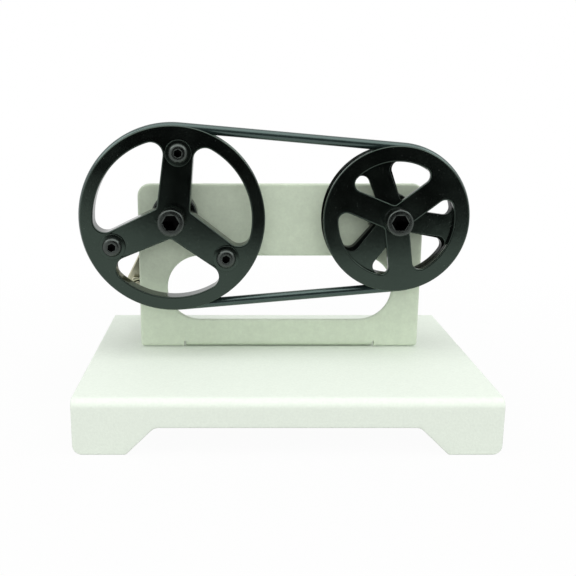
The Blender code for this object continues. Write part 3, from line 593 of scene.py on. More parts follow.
class BELTDRIVE_OT_base(bpy.types.Operator):
    """Folded sheet base: a flat strip with feet and arches, folded down along both long sides"""

    bl_idname = "belt_drive.base"
    bl_label = "Base"

    def execute(self, context):
        size = settings("drive_sheets")
        half = (BASE_HIGH.x - BASE_LOW.x) / 2
        depth = (BASE_HIGH.y - BASE_LOW.y) / 2
        height = BASE_HIGH.z
        foot = half - size.foot_length
        arch = foot - size.foot_slant
        right = rounded([(0, size.arch, 0), (arch, size.arch, size.arch_fillet),
                         (foot, 0, size.foot_inner), (half, 0, size.foot_corner),
                         (half, size.foot_corner, 0)], 13)
        moves_on = np.concatenate([[True], np.diff(right[:, 0]) > 1e-6])
        right = resampled(right[moves_on], 2 * MM)
        x, low = np.concatenate([right[:0:-1] * (-1, 1), right]).T
        bend_run = (size.base_bend - size.sheet / 2) * QUARTER
        top = depth - size.base_bend
        skirt = top + bend_run
        end = skirt + height - size.base_bend - low
        turns = np.linspace(top, skirt, 10)[:, None] + 0 * x
        skirts = skirt + (end - size.edge - skirt) * np.linspace(0, 1, 7)[1:-1, None]
        flat = np.linspace(-top, top, 25)[1:-1, None] + 0 * x
        rows = np.concatenate([-skirts[::-1], -turns[::-1], flat, turns, skirts])
        s, t = strip_section(-end, end, end_drop(x, half, size.edge), size.sheet, size.edge, rows)
        on, down = past_fold(np.abs(s) - top, t, size.base_bend, bend_run)
        points = np.stack([BASE_MIDDLE + x + 0 * s, np.sign(s) * (top + on), height - down], axis=2)
        make_piece("painted_base", [(points, False, True), *end_caps(points)], "stand",
                   "white_powder_coat", ["base_channel"])
        return {"FINISHED"}


class BELTDRIVE_OT_plate(bpy.types.Operator):
    """Upright plate: a ring of sheet between its window and its outline, and its folded foot"""

    bl_idname = "belt_drive.plate"
    bl_label = "Upright plate"

    # The lean of a notch's sides, the rounding where the foot joins the ring, how far they overlap,
    # how close a point has to be to count as on the fold, and the rows over a face
    notch_lean, fold_edge, overlap, within = 0.08 * MM, 0.02 * MM, 0.5 * MM, 0.1 * MM
    face_shares = (0.02, 0.5, 0.98)

    def outline(self, size, bend_start):
        """The right half of the outline, from the middle of the top to the middle of the bottom."""
        half = (PLATE_HIGH.x - PLATE_LOW.x) / 2
        top = PLATE_HIGH.z
        low = BASE_HIGH.z + size.plate_gap
        foot = size.flange / 2
        notch = foot + size.relief
        notch_top = bend_start + size.relief_above
        corners = [(0, top, 0), (half, top, size.plate_corner), (half, low, size.plate_low_corner),
                   (notch, low, 0), (notch - self.notch_lean, notch_top, 0),
                   (foot + self.notch_lean, notch_top, 0), (foot, bend_start, 0), (0, bend_start, 0)]
        return resampled(rounded(corners), 1 * MM)

    def window(self, size, right, outer):
        """Each outline point's partner on the window, and the way outwards from the window there.

        Partners lie straight above or below their points along the window's straight part and the
        start of its ends, and are spread evenly over the rest of the ends.
        """
        radius = size.slot_height / 2
        middle = size.slot_bottom + radius
        core = size.slot_length / 2 - radius
        straight = size.slot_length / 2 - 0.3 * radius
        x, z = outer.T
        beyond = np.clip(np.abs(x) - core, 0, straight - core)
        partner = np.stack([x, middle + np.sign(z - middle) * np.sqrt(radius ** 2 - beyond ** 2)], axis=1)
        gaps = np.linalg.norm(np.diff(right, axis=0), axis=1)
        way = np.concatenate([[0], np.cumsum(gaps)])
        first, *_, last = way[right[:, 0] > straight]
        swing = math.acos((straight - core) / radius) * (1 - 2 * (way - first) / (last - first))
        swing = np.concatenate([swing, swing[-2:0:-1]])
        along, up = np.sign(x) * (core + radius * np.cos(swing)), middle + radius * np.sin(swing)
        partner = np.where(np.abs(x)[:, None] > straight, np.stack([along, up], axis=1), partner)
        centre = np.stack([np.clip(partner[:, 0], -core, core), np.full(len(x), middle)], axis=1)
        return partner, (partner - centre) / radius

    def ring(self, size, bend_start):
        """Rows from the window's edge over the front face to the outline, and back over the rear face."""
        right = self.outline(size, bend_start)
        outer = np.concatenate([right, right[-2:0:-1] * (-1, 1)])
        partner, outwards = self.window(size, right, outer)
        tangent = np.roll(outer, -1, axis=0) - np.roll(outer, 1, axis=0)
        tangent /= np.linalg.norm(tangent, axis=1)[:, None]
        inwards = np.stack([tangent[:, 1], -tangent[:, 0]], axis=1)
        x, z = outer.T
        beside, above = size.flange / 2 + size.relief, bend_start + size.relief_above
        on_fold = (np.abs(x) < beside + self.within / 10) & (z < above + self.within)
        outer_edge = np.where(on_fold, self.fold_edge, size.plate_edge)[:, None]
        inner_edge = np.full((len(x), 1), size.plate_edge)
        draw_in, drop = (share[:, None, None] for share in edge_steps(5))
        first, last = partner + outwards * inner_edge, outer + inwards * outer_edge
        face = first + (last - first) * np.array(self.face_shares)[:, None, None]
        flat = np.concatenate([partner + outwards * inner_edge * draw_in[::-1], face,
                               outer + inwards * outer_edge * draw_in])
        deep = np.concatenate([inner_edge * drop[::-1], 0 * face[..., :1], outer_edge * drop])[..., 0]
        flat = np.concatenate([flat, flat[::-1]])
        deep = np.concatenate([deep, size.sheet - deep[::-1]])
        return np.stack([BASE_MIDDLE + flat[..., 0], PLATE_FRONT + deep, flat[..., 1]], axis=2)

    def foot(self, size, bend_start):
        """The foot: a strip with round ends, folded backwards below the ring."""
        half, corner = size.flange / 2, size.flange_corner
        bend_run = (size.plate_bend - size.sheet / 2) * QUARTER
        end = bend_run + PLATE_HIGH.y - PLATE_FRONT - size.plate_bend
        ends = half - corner * edge_steps(12)[0]
        across = np.unique(np.concatenate([np.linspace(corner - half, half - corner, 30), ends, -ends]))
        lines = np.concatenate([np.linspace(0, bend_run, 10), np.linspace(bend_run, end - corner, 5)[1:]])
        s, t = strip_section(0 * across - self.overlap, end - end_drop(across, half, corner),
                             end_drop(across, half, size.edge), size.sheet, size.edge,
                             lines[:, None] + 0 * across)
        on, back = past_fold(s, t, size.plate_bend, bend_run)
        return np.stack([BASE_MIDDLE + across + 0 * s, PLATE_FRONT + back, bend_start - on], axis=2)

    def execute(self, context):
        size = settings("drive_sheets")
        bend_start = PLATE_LOW.z + size.plate_bend
        foot = self.foot(size, bend_start)
        grids = [(self.ring(size, bend_start), True, True), (foot, False, True), *end_caps(foot)]
        make_piece("painted_plate", grids, "stand", "grey_green_paint", ["upright_plate"])
        return {"FINISHED"}


# Pulleys and belt

# Points on each part of half a window's edge, on the line before a pad, and on half a pad
HUB_STEPS, EDGE_STEPS, FILLET_STEPS, RIM_STEPS = 7, 26, 12, 32
PAD_NEAR_STEPS, PAD_STEPS = 8, 22
# Shares of the way over a flat face; its narrow borders keep it flat to the eye
FACE_SHARES = (0, 0.03, 0.97, 1)
SECTOR = 2 * math.pi / 3


def mirrored_loop(half):
    """A closed loop from the half of it on one side of a sector's middle line."""
    flip = np.array([[math.cos(SECTOR), math.sin(SECTOR)], [math.sin(SECTOR), -math.cos(SECTOR)]])
    return np.concatenate([half, (half @ flip.T)[-2:0:-1]])


def window_half(rim, root, tip, rim_fillet, hub_fillet, grow, shaft):
    """Half of a window's edge, from the hub round one spoke to the middle of the rim.

    It is an arc at the hub, the spoke's straight edge, an arc that touches that edge and the rim, and
    the rim itself, all moved outwards by grow. The spoke's root is its width at the shaft's radius.
    """
    along = np.array([rim - shaft, (tip - root) / 2])
    along /= np.linalg.norm(along)
    into = np.array([-along[1], along[0]])
    edge = np.array([shaft, root / 2]) - into * grow
    middle = np.array([math.cos(SECTOR / 2), math.sin(SECTOR / 2)])
    hub_radius, rim_radius = hub_fillet + grow, rim_fillet + grow
    hub_centre = middle * (hub_radius + edge @ into) / (middle @ into)
    start = edge + into * rim_radius
    within = rim + grow - rim_radius
    way = start @ along
    rim_centre = start + along * (math.sqrt(way * way - start @ start + within * within) - way)
    facing = math.atan2(-into[1], -into[0])
    corner = math.atan2(rim_centre[1], rim_centre[0])
    hub = arc(hub_centre, hub_radius, SECTOR / 2 + math.pi, facing + 2 * math.pi, HUB_STEPS)
    fillet = arc(rim_centre, rim_radius, facing, corner, FILLET_STEPS)
    straight = hub[-1] + (fillet[0] - hub[-1]) * np.linspace(0, 1, EDGE_STEPS + 2)[1:-1, None]
    outer = arc((0, 0), rim + grow, corner, SECTOR / 2, RIM_STEPS)[1:]
    return np.concatenate([hub, straight, fillet, outer])


def sector_half(bore, radius, pad, pad_at):
    """The line round half of a sector: bore, spoke's middle line (round its screw's pad) and rim."""
    count = EDGE_STEPS + FILLET_STEPS
    line = np.linspace(bore, radius, count + 1)[1:, None] * (1, 0)
    if pad:
        before = np.linspace(bore, pad_at - pad, PAD_NEAR_STEPS + 2)[1:-1, None] * (1, 0)
        after = np.linspace(pad_at + pad, radius, count - PAD_NEAR_STEPS - PAD_STEPS + 1)[1:, None] * (1, 0)
        line = np.concatenate([before, arc((pad_at, 0), pad, math.pi, 0, PAD_STEPS), after])
    return np.concatenate([arc((0, 0), bore, SECTOR / 2, 0, HUB_STEPS), line,
                           arc((0, 0), radius, 0, SECTOR / 2, RIM_STEPS)[1:]])


def spun(points, turn):
    """Points turned about the third axis; flat ones have only two."""
    flat = points[..., :2] @ np.array([[math.cos(turn), math.sin(turn)], [-math.sin(turn), math.cos(turn)]])
    return np.concatenate([flat, points[..., 2:]], axis=-1)


def raised(loops, heights):
    """Flat loops lifted to their heights, as rows of a grid."""
    loops = np.asarray(loops)
    heights = np.asarray(heights)[:, None, None] + 0 * loops[..., :1]
    return np.concatenate([loops, heights], axis=2)


def pulley_grids(radius, rim_width, spoke, thickness, groove_at, pads):
    """One disc of a pulley, its inner face at height 0 and its outer face at its thickness.

    Each third of it is a ring of surface between a window's edge and the lines round that third, on
    both faces. Window walls, rim, bore and the pads round the screws close it. The rim's radius falls
    from the lip at 45 degrees to the groove's floor at the height groove_at, and rises again. A disc
    that ends at the groove's floor has no lip. The first spoke points along the first axis.
    """
    size = settings("drive_pulleys")
    rim = radius - rim_width
    draw_in, drop = edge_steps(6)
    depth = size.groove - abs(groove_at)
    lip = thickness - size.lip
    if groove_at > lip:
        profile = [(thickness, radius - depth - thickness)]
    else:
        profile = [*zip(thickness - size.edge * drop, radius - size.edge * draw_in),
                   (lip + size.lip_edge, radius), (lip, radius - size.lip_edge / 3)]
        if groove_at > 0:
            profile.append((groove_at, radius - size.groove))
    profile.append((0, radius - depth))

    def face(window_edge, line, height):
        """A flat face from a window's edge to a line."""
        step = raised([line], [height])[0] - window_edge
        return np.stack([window_edge + step * share for share in FACE_SHARES])

    grows = np.concatenate([size.inner_edge * draw_in, size.edge * draw_in[::-1]])
    heights = np.concatenate([size.inner_edge * drop, thickness - size.edge * drop[::-1]])
    shaft = size.bore - settings("drive_fasteners").clearance
    walls = raised([mirrored_loop(window_half(rim, *spoke, grow, shaft)) for grow in grows], heights)
    pad_at = size.screw_circle
    outer_line = mirrored_loop(sector_half(size.bore, profile[0][1], size.pad if pads else 0, pad_at))
    inner_line = mirrored_loop(sector_half(size.bore, radius - depth, 0, pad_at))
    third = [walls, face(walls[-1], outer_line, thickness), face(walls[0], inner_line, 0)]
    if pads:
        top = thickness + size.pad_rise
        pad = [(thickness, size.pad), (top - size.pad_edge, size.pad), (top, size.pad - size.pad_edge),
               (top, size.pad_bore), (thickness, size.pad_bore), (thickness, 0)]
        third.append(turned(pad, 2 * (PAD_STEPS - 1)) + (pad_at, 0, 0))
    return [*(spun(points, SECTOR * number) for number in range(3) for points in third),
            turned(profile, 6 * (RIM_STEPS - 1)),
            turned([(0, size.bore), (thickness, size.bore)], 6 * (HUB_STEPS - 1))]


def pulley_disc(name, nodes, line, side, rim, spoke, first_spoke, finish, pads=False):
    """Places one disc of a pulley, in place of its solids, with its inner face towards its twin."""
    axis, body = LINES[line]
    rear, front = span(nodes[0])[0], span(nodes[-1])[1]
    split = rear if side > 0 else front
    groove_at = side * (sum(span("belt")) / 2 - split)
    grids = []
    for points in pulley_grids(reach(line + "_pulley_front"), rim, spoke, front - rear, groove_at, pads):
        points = spun(points, first_spoke) * (1, 1, side) + (0, 0, split)
        grids.append((on_shaft(points, axis), True, False))
    make_piece(name, grids, body, "black_enamel", nodes, finish)


class BELTDRIVE_OT_large_pulley(bpy.types.Operator):
    """Large pulley: a thin front disc with pads round its screws, and a thick one behind it"""

    bl_idname = "belt_drive.large_pulley"
    bl_label = "Large pulley"

    def execute(self, context):
        size = settings("drive_pulleys")
        spoke = (size.drive_root, size.drive_tip, size.drive_rim_fillet, size.drive_hub_fillet)
        pulley_disc("large_pulley_front", ["drive_pulley_front"], "drive", 1, size.drive_rim, spoke,
                    size.drive_spoke, "black_enamel", True)
        pulley_disc("large_pulley_rear", ["drive_pulley_rear", "drive_pulley_middle"], "drive", -1,
                    size.drive_rim - size.rim_step, spoke, size.drive_spoke, "black_enamel")
        return {"FINISHED"}


class BELTDRIVE_OT_small_pulley(bpy.types.Operator):
    """Small pulley: three discs with their spokes at unlike angles"""

    bl_idname = "belt_drive.small_pulley"
    bl_label = "Small pulley"

    def execute(self, context):
        size = settings("drive_pulleys")
        fillets = (size.driven_rim_fillet, size.driven_hub_fillet)
        spoke = (size.driven_root, size.driven_tip, *fillets)
        inner_spoke = (size.driven_inner_root, size.driven_inner_tip, *fillets)
        for place, side, widths, turn, finish in (
                ("front", 1, spoke, size.driven_spoke, "black_enamel"),
                ("middle", -1, inner_spoke, size.driven_middle_spoke, "thin_enamel"),
                ("rear", -1, inner_spoke, size.driven_rear_spoke, "matt_enamel")):
            pulley_disc("small_pulley_" + place, ["driven_pulley_" + place], "driven", side,
                        size.driven_rim, widths, turn, finish)
        return {"FINISHED"}


class BELTDRIVE_OT_belt(bpy.types.Operator):
    """Belt: a circle carried along two arcs and the straight runs that touch both pulleys"""

    bl_idname = "belt_drive.belt"
    bl_label = "Belt"

    def execute(self, context):
        size = settings("drive_pulleys")
        large, small = (reach(line + "_pulley_front") + size.proud - size.belt / 2 for line in LINES)
        lean = math.asin((large - small) / (DRIVEN_AXIS[0] - DRIVE_AXIS[0]))
        left = arc(DRIVE_AXIS[::2], large, QUARTER - lean, 3 * QUARTER + lean, 120)
        right = arc(DRIVEN_AXIS[::2], small, lean - QUARTER, QUARTER - lean, 100)
        route = resampled(np.concatenate([left, right, left[:1]]), 1.5 * MM)[:-1]
        ahead = np.roll(route, -1, axis=0) - np.roll(route, 1, axis=0)
        ahead /= np.linalg.norm(ahead, axis=1)[:, None]
        out = np.stack([ahead[:, 1], -ahead[:, 0]], axis=1)
        turn = all_round(24)[:, None]
        flat = route + out * (np.cos(turn) * size.belt / 2)[..., None]
        depth = PLATE_FRONT - sum(span("belt")) / 2 + np.sin(turn) * size.belt / 2 + 0 * flat[..., 0]
        points = np.stack([flat[..., 0], depth, flat[..., 1]], axis=2)
        make_piece("round_belt", [(points, True, True)], "stand", "black_rubber", ["belt"])
        return {"FINISHED"}


# Turned pieces and fasteners


def ring_profile(rear, front, inner, outer, edge):
    """A washer's or sleeve's section as a closed loop with rounded outer edges."""
    start = (rear, (inner + outer) / 2, 0)
    return rounded([start, (rear, outer, edge), (front, outer, edge), (front, inner, edge / 2),
                    (rear, inner, edge / 2), start], 5)[:-1]


def hex_socket(outside, key_size, depth, flare, entry, point):
    """A screw from its outside, shank's end first, with a hex socket in the head's top.

    The socket is a hexagon that flares a little over the entry's depth, and ends in a drill point.
    """
    top = outside[-1][0]
    floor = top - depth
    key = hexagon(key_size, ROUND)
    heights = [height for height, radius in outside]
    radii = [radius + 0 * key for height, radius in outside]
    return stepped([*heights, top, top - entry, floor, floor - point],
                   [*radii, key * flare, key, key, 0 * key])


def cap_screw():
    """A cap screw with its head's seat at height 0: shank, head with a rounded top, and a hex socket."""
    size = settings("drive_fasteners")
    end, top = -size.cap_thread, size.cap_head
    outside = rounded([(end, 0, 0), (end, size.cap_shank, size.thread_end), (0, size.cap_shank, 0),
                       (0, size.cap_radius, size.ring_edge), (top, size.cap_radius, size.cap_top),
                       (top, size.cap_socket * 0.61, 0)], 7)
    return hex_socket(outside, size.cap_socket, size.cap_socket_depth, flare=1.05, entry=0.12 * MM,
                      point=0.8 * MM)


def button_screw(rear, front):
    """A button-head screw between two heights: shank, quarter-ellipse dome and a hex socket."""
    size = settings("drive_fasteners")
    seat = front - size.button_head
    shank = rounded([(rear, 0, 0), (rear, size.button_shank, size.shoulder),
                     (seat, size.button_shank, 0), (seat, size.button_radius, 0)], 5)
    swell = np.linspace(0, QUARTER, 12)
    rim = seat + size.button_rim
    dome = np.stack([rim + (front - rim) * np.sin(swell),
                     size.button_flat + (size.button_radius - size.button_flat) * np.cos(swell)], axis=1)
    outside = np.concatenate([shank, dome, [(front, size.button_socket * 0.65)]])
    return hex_socket(outside, size.button_socket, size.button_socket_depth, flare=1.06,
                      entry=0.1 * MM, point=0.4 * MM)


def hex_nut(rear, front, across_flats, bore, columns=ROUND):
    """A nut: a hexagon whose corners are turned down by a cone at both ends, and its bore."""
    chamfer = settings("drive_fasteners").thread_end
    key = hexagon(across_flats, columns)
    turned_down = np.linspace(0, 0.0468 * across_flats, 7)
    body = np.concatenate([rear + turned_down, front - turned_down[::-1]])
    end_radius, slope = 0.485 * across_flats, math.tan(math.radians(62))
    cone = end_radius + np.minimum(body - rear, front - body) * slope
    mouth, hole = (bore + chamfer) + 0 * key, bore + 0 * key
    return stepped([rear, *body, front, front - chamfer, rear + chamfer],
                   [mouth, *np.minimum(key, cone[:, None]), mouth, hole, hole])


def shaft_piece(name, points, axis, body, slot, node, closed=False):
    """Places a turned piece on a shaft's axis, in place of its solid."""
    make_piece(name, [(on_shaft(points, axis), True, closed)], body, slot, [node])


def shaft_ring(name, node, axis, body, slot, inner, edge):
    """A washer, spacer or bush on a shaft."""
    ring = turned(ring_profile(*span(node), inner, reach(node), edge))
    shaft_piece(name, ring, axis, body, slot, node, True)


def shaft_nut(name, node, axis, body, slot, bore, columns=ROUND):
    """A nut on a shaft, with two of its corners level with the axis."""
    low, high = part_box(node)
    shaft_piece(name, hex_nut(*span(node), high.z - low.z, bore, columns), axis, body, slot, node, True)


class BELTDRIVE_OT_bearings(bpy.types.Operator):
    """Bearings: turned housings with their bushes and the hex nuts behind the plate"""

    bl_idname = "belt_drive.bearings"
    bl_label = "Bearings"

    def execute(self, context):
        size = settings("drive_fasteners")
        gap = size.clearance
        for line, (axis, _) in LINES.items():
            housing = line + "_bearing_housing"
            rear, front = span(housing)
            boss, bore = reach(housing), reach(line + "_bush") + gap
            spigot = bore + size.spigot_wall
            start = (rear, (bore + spigot) / 2, 0)
            profile = rounded([start, (rear, spigot, size.shoulder), (gap, spigot, 0),
                               (gap, boss, size.fine_edge), (front, boss, size.boss_edge),
                               (front, bore, size.fine_edge), (rear, bore, size.fine_edge), start], 6)[:-1]
            shaft_piece(line + "_housing", turned(profile, FINE_ROUND), axis, "stand", "black_steel",
                        housing, True)
            shaft_nut(line + "_back_nut", line + "_housing_nut", axis, "stand", "bright_steel",
                      spigot + gap, FINE_ROUND)
            shaft_ring(line + "_sleeve", line + "_bush", axis, "stand", "bronze",
                       reach(line + "_shaft") + gap, size.fine_edge)
        return {"FINISHED"}


class BELTDRIVE_OT_shafts(bpy.types.Operator):
    """Shafts: stepped bars, with the spacers behind the pulleys"""

    bl_idname = "belt_drive.shafts"
    bl_label = "Shafts"

    def execute(self, context):
        size = settings("drive_fasteners")
        journal, gap = size.journal, size.clearance
        for line, (axis, body) in LINES.items():
            bar, spacer = line + "_shaft", line + "_spacer"
            rear, front = span(bar)
            wide = reach(bar)
            shoulder = span(spacer)[0] - gap
            tail = [(rear, 0, 0), (rear, wide, size.bar_end)]
            if line == "drive":
                step = span("crank_arm")[1] + gap
                tail = [(rear, 0, 0), (rear, journal, size.thread_end), (step, journal, 0),
                        (step, wide, size.shoulder)]
            profile = rounded([*tail, (shoulder, wide, size.shoulder), (shoulder, journal, 0),
                               (front, journal, size.thread_end), (front, 0, 0)], 6)
            shaft_piece(line + "_bar", turned(profile), axis, body, "bright_steel", bar)
            shaft_ring(line + "_spacer_ring", spacer, axis, body, "bright_steel", journal + gap,
                       size.ring_edge)
        return {"FINISHED"}


class BELTDRIVE_OT_hub_screws(bpy.types.Operator):
    """Hub screws: cap screws on lock washers in front of both pulleys"""

    bl_idname = "belt_drive.hub_screws"
    bl_label = "Hub screws"

    def execute(self, context):
        size = settings("drive_fasteners")
        for line, (axis, body) in LINES.items():
            shaft_ring(line + "_washer", line + "_lock_washer", axis, body, "black_steel",
                       size.cap_shank + size.slack, size.edge)
            screw = line + "_hub_screw"
            points = cap_screw() + (0, 0, span(screw)[1] - size.cap_head)
            shaft_piece(line + "_cap_screw", points, axis, body, "black_steel", screw)
        return {"FINISHED"}


class BELTDRIVE_OT_pulley_screws(bpy.types.Operator):
    """Pulley screws: three button-head screws and their nuts"""

    bl_idname = "belt_drive.pulley_screws"
    bl_label = "Pulley screws"

    def execute(self, context):
        size = settings("drive_fasteners")
        pulley = settings("drive_pulleys")
        for number in range(3):
            turn = pulley.drive_spoke + SECTOR * number
            axis = DRIVE_AXIS + pulley.screw_circle * np.array([math.cos(turn), 0, math.sin(turn)])
            screw = f"pulley_screw_{number + 1}"
            shaft_piece(f"button_screw_{number + 1}", spun(button_screw(*span(screw)), turn), axis,
                        "drive_line", "black_steel", screw)
            shaft_nut(f"small_nut_{number + 1}", f"pulley_nut_{number + 1}", axis, "drive_line",
                      "black_steel", size.button_shank + size.clearance)
        return {"FINISHED"}


class BELTDRIVE_OT_foot_screws(bpy.types.Operator):
    """Foot screws: button-head screws, washers and nuts that hold the plate on the base"""

    bl_idname = "belt_drive.foot_screws"
    bl_label = "Foot screws"

    def execute(self, context):
        size = settings("drive_fasteners")
        bore = size.button_shank + size.clearance
        shapes = {
            "screw": lambda low, high: button_screw(low.z, high.z),
            "washer": lambda low, high: turned(ring_profile(low.z, high.z, bore, (high.x - low.x) / 2,
                                                            size.fine_edge)),
            "nut": lambda low, high: hex_nut(low.z, high.z, high.y - low.y, bore),
        }
        slots = {"screw": "black_steel", "washer": "bright_steel", "nut": "bright_steel"}
        for number in (1, 2):
            for kind, shape in shapes.items():
                node = f"foot_{kind}_{number}"
                low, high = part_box(node)
                points = shape(low, high) + ((low.x + high.x) / 2, (low.y + high.y) / 2, 0)
                make_piece(f"plate_{kind}_{number}", [(points, True, kind != "screw")], "stand",
                           slots[kind], [node])
        return {"FINISHED"}


class BELTDRIVE_OT_crank(bpy.types.Operator):
    """Hand crank: flat arm, its washer and screw, the pin with its nut, and the grip"""

    bl_idname = "belt_drive.crank"
    bl_label = "Hand crank"

    def arm(self, size):
        """A flat bar with round ends: rings from its middle line out, over the edge and back."""
        rear, front = span("crank_arm")
        swing = PIN_AXIS - DRIVE_AXIS
        throw = math.hypot(swing[0], swing[2])
        steps = 30
        core = np.repeat([(throw, 0), (0, 0)], steps, axis=0)
        ends = [arc((0, 0), 1, start, start + math.pi, steps) for start in (-QUARTER, QUARTER)]
        out = np.concatenate(ends)
        draw_in, drop = edge_steps(7)
        widths = np.concatenate([[0], size.arm_end - size.arm_edge * draw_in])
        heights = front - np.concatenate([[0], size.arm_edge * drop])
        rows = core + out * np.concatenate([widths, widths[::-1]])[:, None, None]
        points = raised(rows, np.concatenate([heights, rear + front - heights[::-1]]))
        return spun(points, math.atan2(swing[2], swing[0]))

    def pin(self, size):
        """The pin's profile: a wide end behind the grip, a journal in it, and a thread in the arm."""
        rear, front = span("crank_pin")
        head_end = span("crank_grip")[0] - size.clearance
        journal_end = span("crank_arm")[0] - size.clearance
        head = reach("crank_pin")
        return rounded([(rear, 0, 0), (rear, head, size.bar_end), (head_end, head, size.shoulder),
                        (head_end, size.pin, 0), (journal_end, size.pin, size.shoulder),
                        (journal_end, size.pin_thread, 0), (front, size.pin_thread, size.thread_end),
                        (front, 0, 0)], 6)

    def grip(self, size):
        """The grip's section: a cosine wave from its full radius to its waist, quarter ellipses at both
        ends, and its bore."""
        rear, front = span("crank_grip")
        way = np.linspace(0, 1, 40)
        wave_start, wave_length = 0.2, 0.65
        wave = (1 - np.cos(np.clip((way - wave_start) / wave_length, 0, 1) * math.pi)) / 2
        radius = reach("crank_grip") - size.grip_waist * wave
        for to_end, end_length, end_share in ((way, 0.06, 0.75), (1 - way, 0.05, 0.8)):
            past = np.clip(1 - to_end / end_length, 0, 1)
            radius *= end_share + (1 - end_share) * np.sqrt(1 - past ** 2)
        bore = size.pin + size.clearance
        return np.concatenate([np.stack([rear + (front - rear) * way, radius], axis=1),
                               [(front, bore), (rear, bore)]])

    def execute(self, context):
        size = settings("drive_fasteners")
        shaft_piece("crank_bar", self.arm(size), DRIVE_AXIS, "drive_line", "bright_steel", "crank_arm")
        shaft_ring("crank_ring", "crank_washer", DRIVE_AXIS, "drive_line", "bright_steel",
                   size.cap_shank + size.slack, size.ring_edge)
        screw = cap_screw() * (1, 1, -1) + (0, 0, span("crank_screw")[0] + size.cap_head)
        shaft_piece("crank_cap_screw", screw, DRIVE_AXIS, "drive_line", "black_steel", "crank_screw")
        shaft_piece("grip_pin", turned(self.pin(size)), PIN_AXIS, "drive_line", "bright_steel", "crank_pin")
        shaft_nut("grip_pin_nut", "crank_pin_nut", PIN_AXIS, "drive_line", "bright_steel",
                  size.pin_thread + size.clearance)
        shaft_piece("crank_handle", turned(self.grip(size)), PIN_AXIS, "grip", "black_plastic",
                    "crank_grip", True)
        return {"FINISHED"}


class BELTDRIVE_OT_solids(bpy.types.Operator):
    """Solids that already have their shape: the collar and its grub screw get their finish"""

    bl_idname = "belt_drive.solids"
    bl_label = "Collar"

    def execute(self, context):
        for node in ("driven_collar", "collar_grub_screw"):
            NODES[node].data.materials.clear()
            NODES[node].data.materials.append(material_of("black_steel"))
        return {"FINISHED"}


# Stage

# Soft boxes: place, width and height in metres, watts, and whether gloss shows them
LAMPS = {
    "top_box": ((0.0, -0.3, 0.9), 0.9, 0.9, 3.4, True),
    "front_box": ((-0.02, -0.75, 0.28), 0.5, 0.24, 1.15, False),
    "left_box": ((-0.75, -0.25, 0.8), 0.6, 0.6, 2.8, True),
    "right_box": ((0.75, -0.25, 0.8), 0.6, 0.6, 2.8, True),
}
LIT_POINT = (0, 0, 0.05)


def seen_ray(tree):
    """1 for a ray that the eye follows, straight or by a mirror or glass, and 0 for scattered light."""
    seen = add(tree, "LightPath", {}, "Is Camera Ray")
    for kind in ("Is Glossy Ray", "Is Transmission Ray"):
        seen = add(tree, "Math", {0: seen, 1: add(tree, "LightPath", {}, kind)}, operation="MAXIMUM")
    return seen


def lamp(name, place, width, height, power, in_gloss):
    """A soft box that faces the object."""
    data = bpy.data.lights.new(name, "AREA")
    data.shape = "RECTANGLE"
    data.size, data.size_y = width, height
    data.energy = power
    obj = new_object(name, data)
    obj.location = place
    x, y, z = np.array(LIT_POINT) - np.array(place)
    obj.rotation_euler = (math.atan2(math.hypot(x, y), -z), 0, math.atan2(-x, y))
    obj.visible_glossy = in_gloss


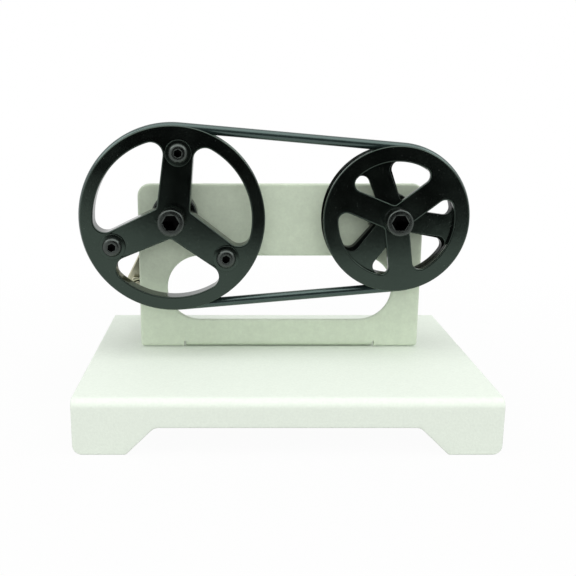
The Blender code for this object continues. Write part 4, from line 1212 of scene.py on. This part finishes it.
class BELTDRIVE_OT_stage(bpy.types.Operator):
    """Stage: pale floor, white surroundings, soft light and the camera"""

    bl_idname = "belt_drive.stage"
    bl_label = "Stage"

    def world(self, stage):
        """White surroundings that light the object less than they show."""
        world = bpy.data.worlds.new("studio")
        bpy.context.scene.world = world
        world.use_nodes = True
        tree = world.node_tree
        strength = add(tree, "MapRange", {"Value": seen_ray(tree), "To Min": stage.fill, "To Max": 1})
        fill(tree, tree.nodes["Background"], {"Color": (1, 1, 1, 1), "Strength": strength})

    def floor(self, stage):
        """A wide table top that stays white to the eye and still takes a soft shadow."""
        material, tree, shader, place = blank("pale_table")
        surface = add(tree, "BsdfDiffuse", {"Color": shade(stage.floor)})
        glow = add(tree, "Emission", {"Color": (1, 1, 1, 1), "Strength": 1})
        away = add(tree, "VectorMath", {0: place}, "Value", operation="LENGTH")
        share = add(tree, "MapRange", {"Value": away, "From Min": 0.08, "From Max": 0.3,
                                       "To Min": stage.floor_white, "To Max": 1})
        seen = add(tree, "Math", {0: seen_ray(tree), 1: share}, operation="MULTIPLY")
        mixed = add(tree, "MixShader", {0: seen, 1: surface, 2: glow})
        fill(tree, tree.nodes["Material Output"], {"Surface": mixed})
        tree.nodes.remove(shader)
        half = 3.0
        mesh = bpy.data.meshes.new("table_top")
        mesh.from_pydata([(-half, -half, 0), (half, -half, 0), (half, half, 0), (-half, half, 0)], [],
                         [(0, 1, 2, 3)])
        mesh.materials.append(material)
        floor = new_object("table_top", mesh)

    def dark_screen(self, stage):
        """A dark cloth round the camera, bowed as a parabola, hidden from it, that the pulleys mirror."""
        material, tree, shader, _ = blank("dark_cloth")
        fill(tree, shader, {"Base Color": shade(stage.cloth), "Roughness": 1, "Specular IOR Level": 0})
        half, middle, nearest, curve = 0.5, 0.06, -0.332, 5.2
        bottom, height = 0.002, 0.3
        across = np.linspace(-half, half, 41)
        bow = nearest - curve * (across - middle) ** 2
        low = np.stack([across, bow, np.full(len(across), bottom)], axis=1)
        points = np.stack([low, low + (0, 0, height)])
        mesh = bpy.data.meshes.new("dark_screen")
        mesh.from_pydata(points.reshape(-1, 3), [], grid_faces(2, len(across), 0, False, False))
        mesh.materials.append(material)
        screen = new_object("dark_screen", mesh)
        screen.visible_camera = False
        screen.visible_diffuse = False
        screen.visible_shadow = False
        screen.visible_transmission = False

    def camera(self, stage):
        """The camera at the photograph's viewing angle."""
        camera = bpy.data.cameras.new("photo_camera")
        camera.sensor_width = 36
        camera.lens = stage.lens
        camera.shift_x = stage.shift
        camera.shift_y = stage.rise
        camera.clip_start = 0.01
        obj = new_object("photo_camera", camera)
        obj.location = stage.camera_place
        obj.rotation_euler = (QUARTER - stage.camera_pitch, 0, 0)
        bpy.context.scene.camera = obj

    def execute(self, context):
        stage = settings("drive_stage")
        context.scene.view_settings.view_transform = "Standard"
        self.world(stage)
        self.floor(stage)
        self.dark_screen(stage)
        for name, values in LAMPS.items():
            lamp(name, *values)
        self.camera(stage)
        return {"FINISHED"}


STEPS = (BELTDRIVE_OT_base, BELTDRIVE_OT_plate, BELTDRIVE_OT_bearings, BELTDRIVE_OT_shafts,
         BELTDRIVE_OT_large_pulley, BELTDRIVE_OT_small_pulley, BELTDRIVE_OT_belt, BELTDRIVE_OT_hub_screws,
         BELTDRIVE_OT_pulley_screws, BELTDRIVE_OT_foot_screws, BELTDRIVE_OT_crank, BELTDRIVE_OT_solids,
         BELTDRIVE_OT_stage)


class BELTDRIVE_PT_panel(bpy.types.Panel):
    """Lists the steps and the sizes and colours that they use."""

    bl_idname = "BELTDRIVE_PT_panel"
    bl_label = "Belt drive stand"
    bl_space_type = "VIEW_3D"
    bl_region_type = "UI"
    bl_category = "Belt drive"

    def draw(self, context):
        """Shows a button for each step, then the settings."""
        for step in STEPS:
            self.layout.operator(step.bl_idname)
        for name, group in SETTINGS.items():
            box = self.layout.box()
            for key in group.__annotations__:
                box.prop(getattr(context.scene, name), key)


CLASSES = (*SETTINGS.values(), *STEPS, BELTDRIVE_PT_panel)


def register():
    """Registers the classes and gives every scene the settings."""
    for cls in CLASSES:
        bpy.utils.register_class(cls)
    for name, group in SETTINGS.items():
        setattr(bpy.types.Scene, name, PointerProperty(type=group))


def unregister():
    """Takes the settings and the classes away again."""
    for name in SETTINGS:
        delattr(bpy.types.Scene, name)
    for cls in reversed(CLASSES):
        bpy.utils.unregister_class(cls)


def main():
    """Runs every step."""
    register()
    for step in STEPS:
        group, name = step.bl_idname.split(".")
        getattr(getattr(bpy.ops, group), name)()


if __name__ == "__main__":
    main()
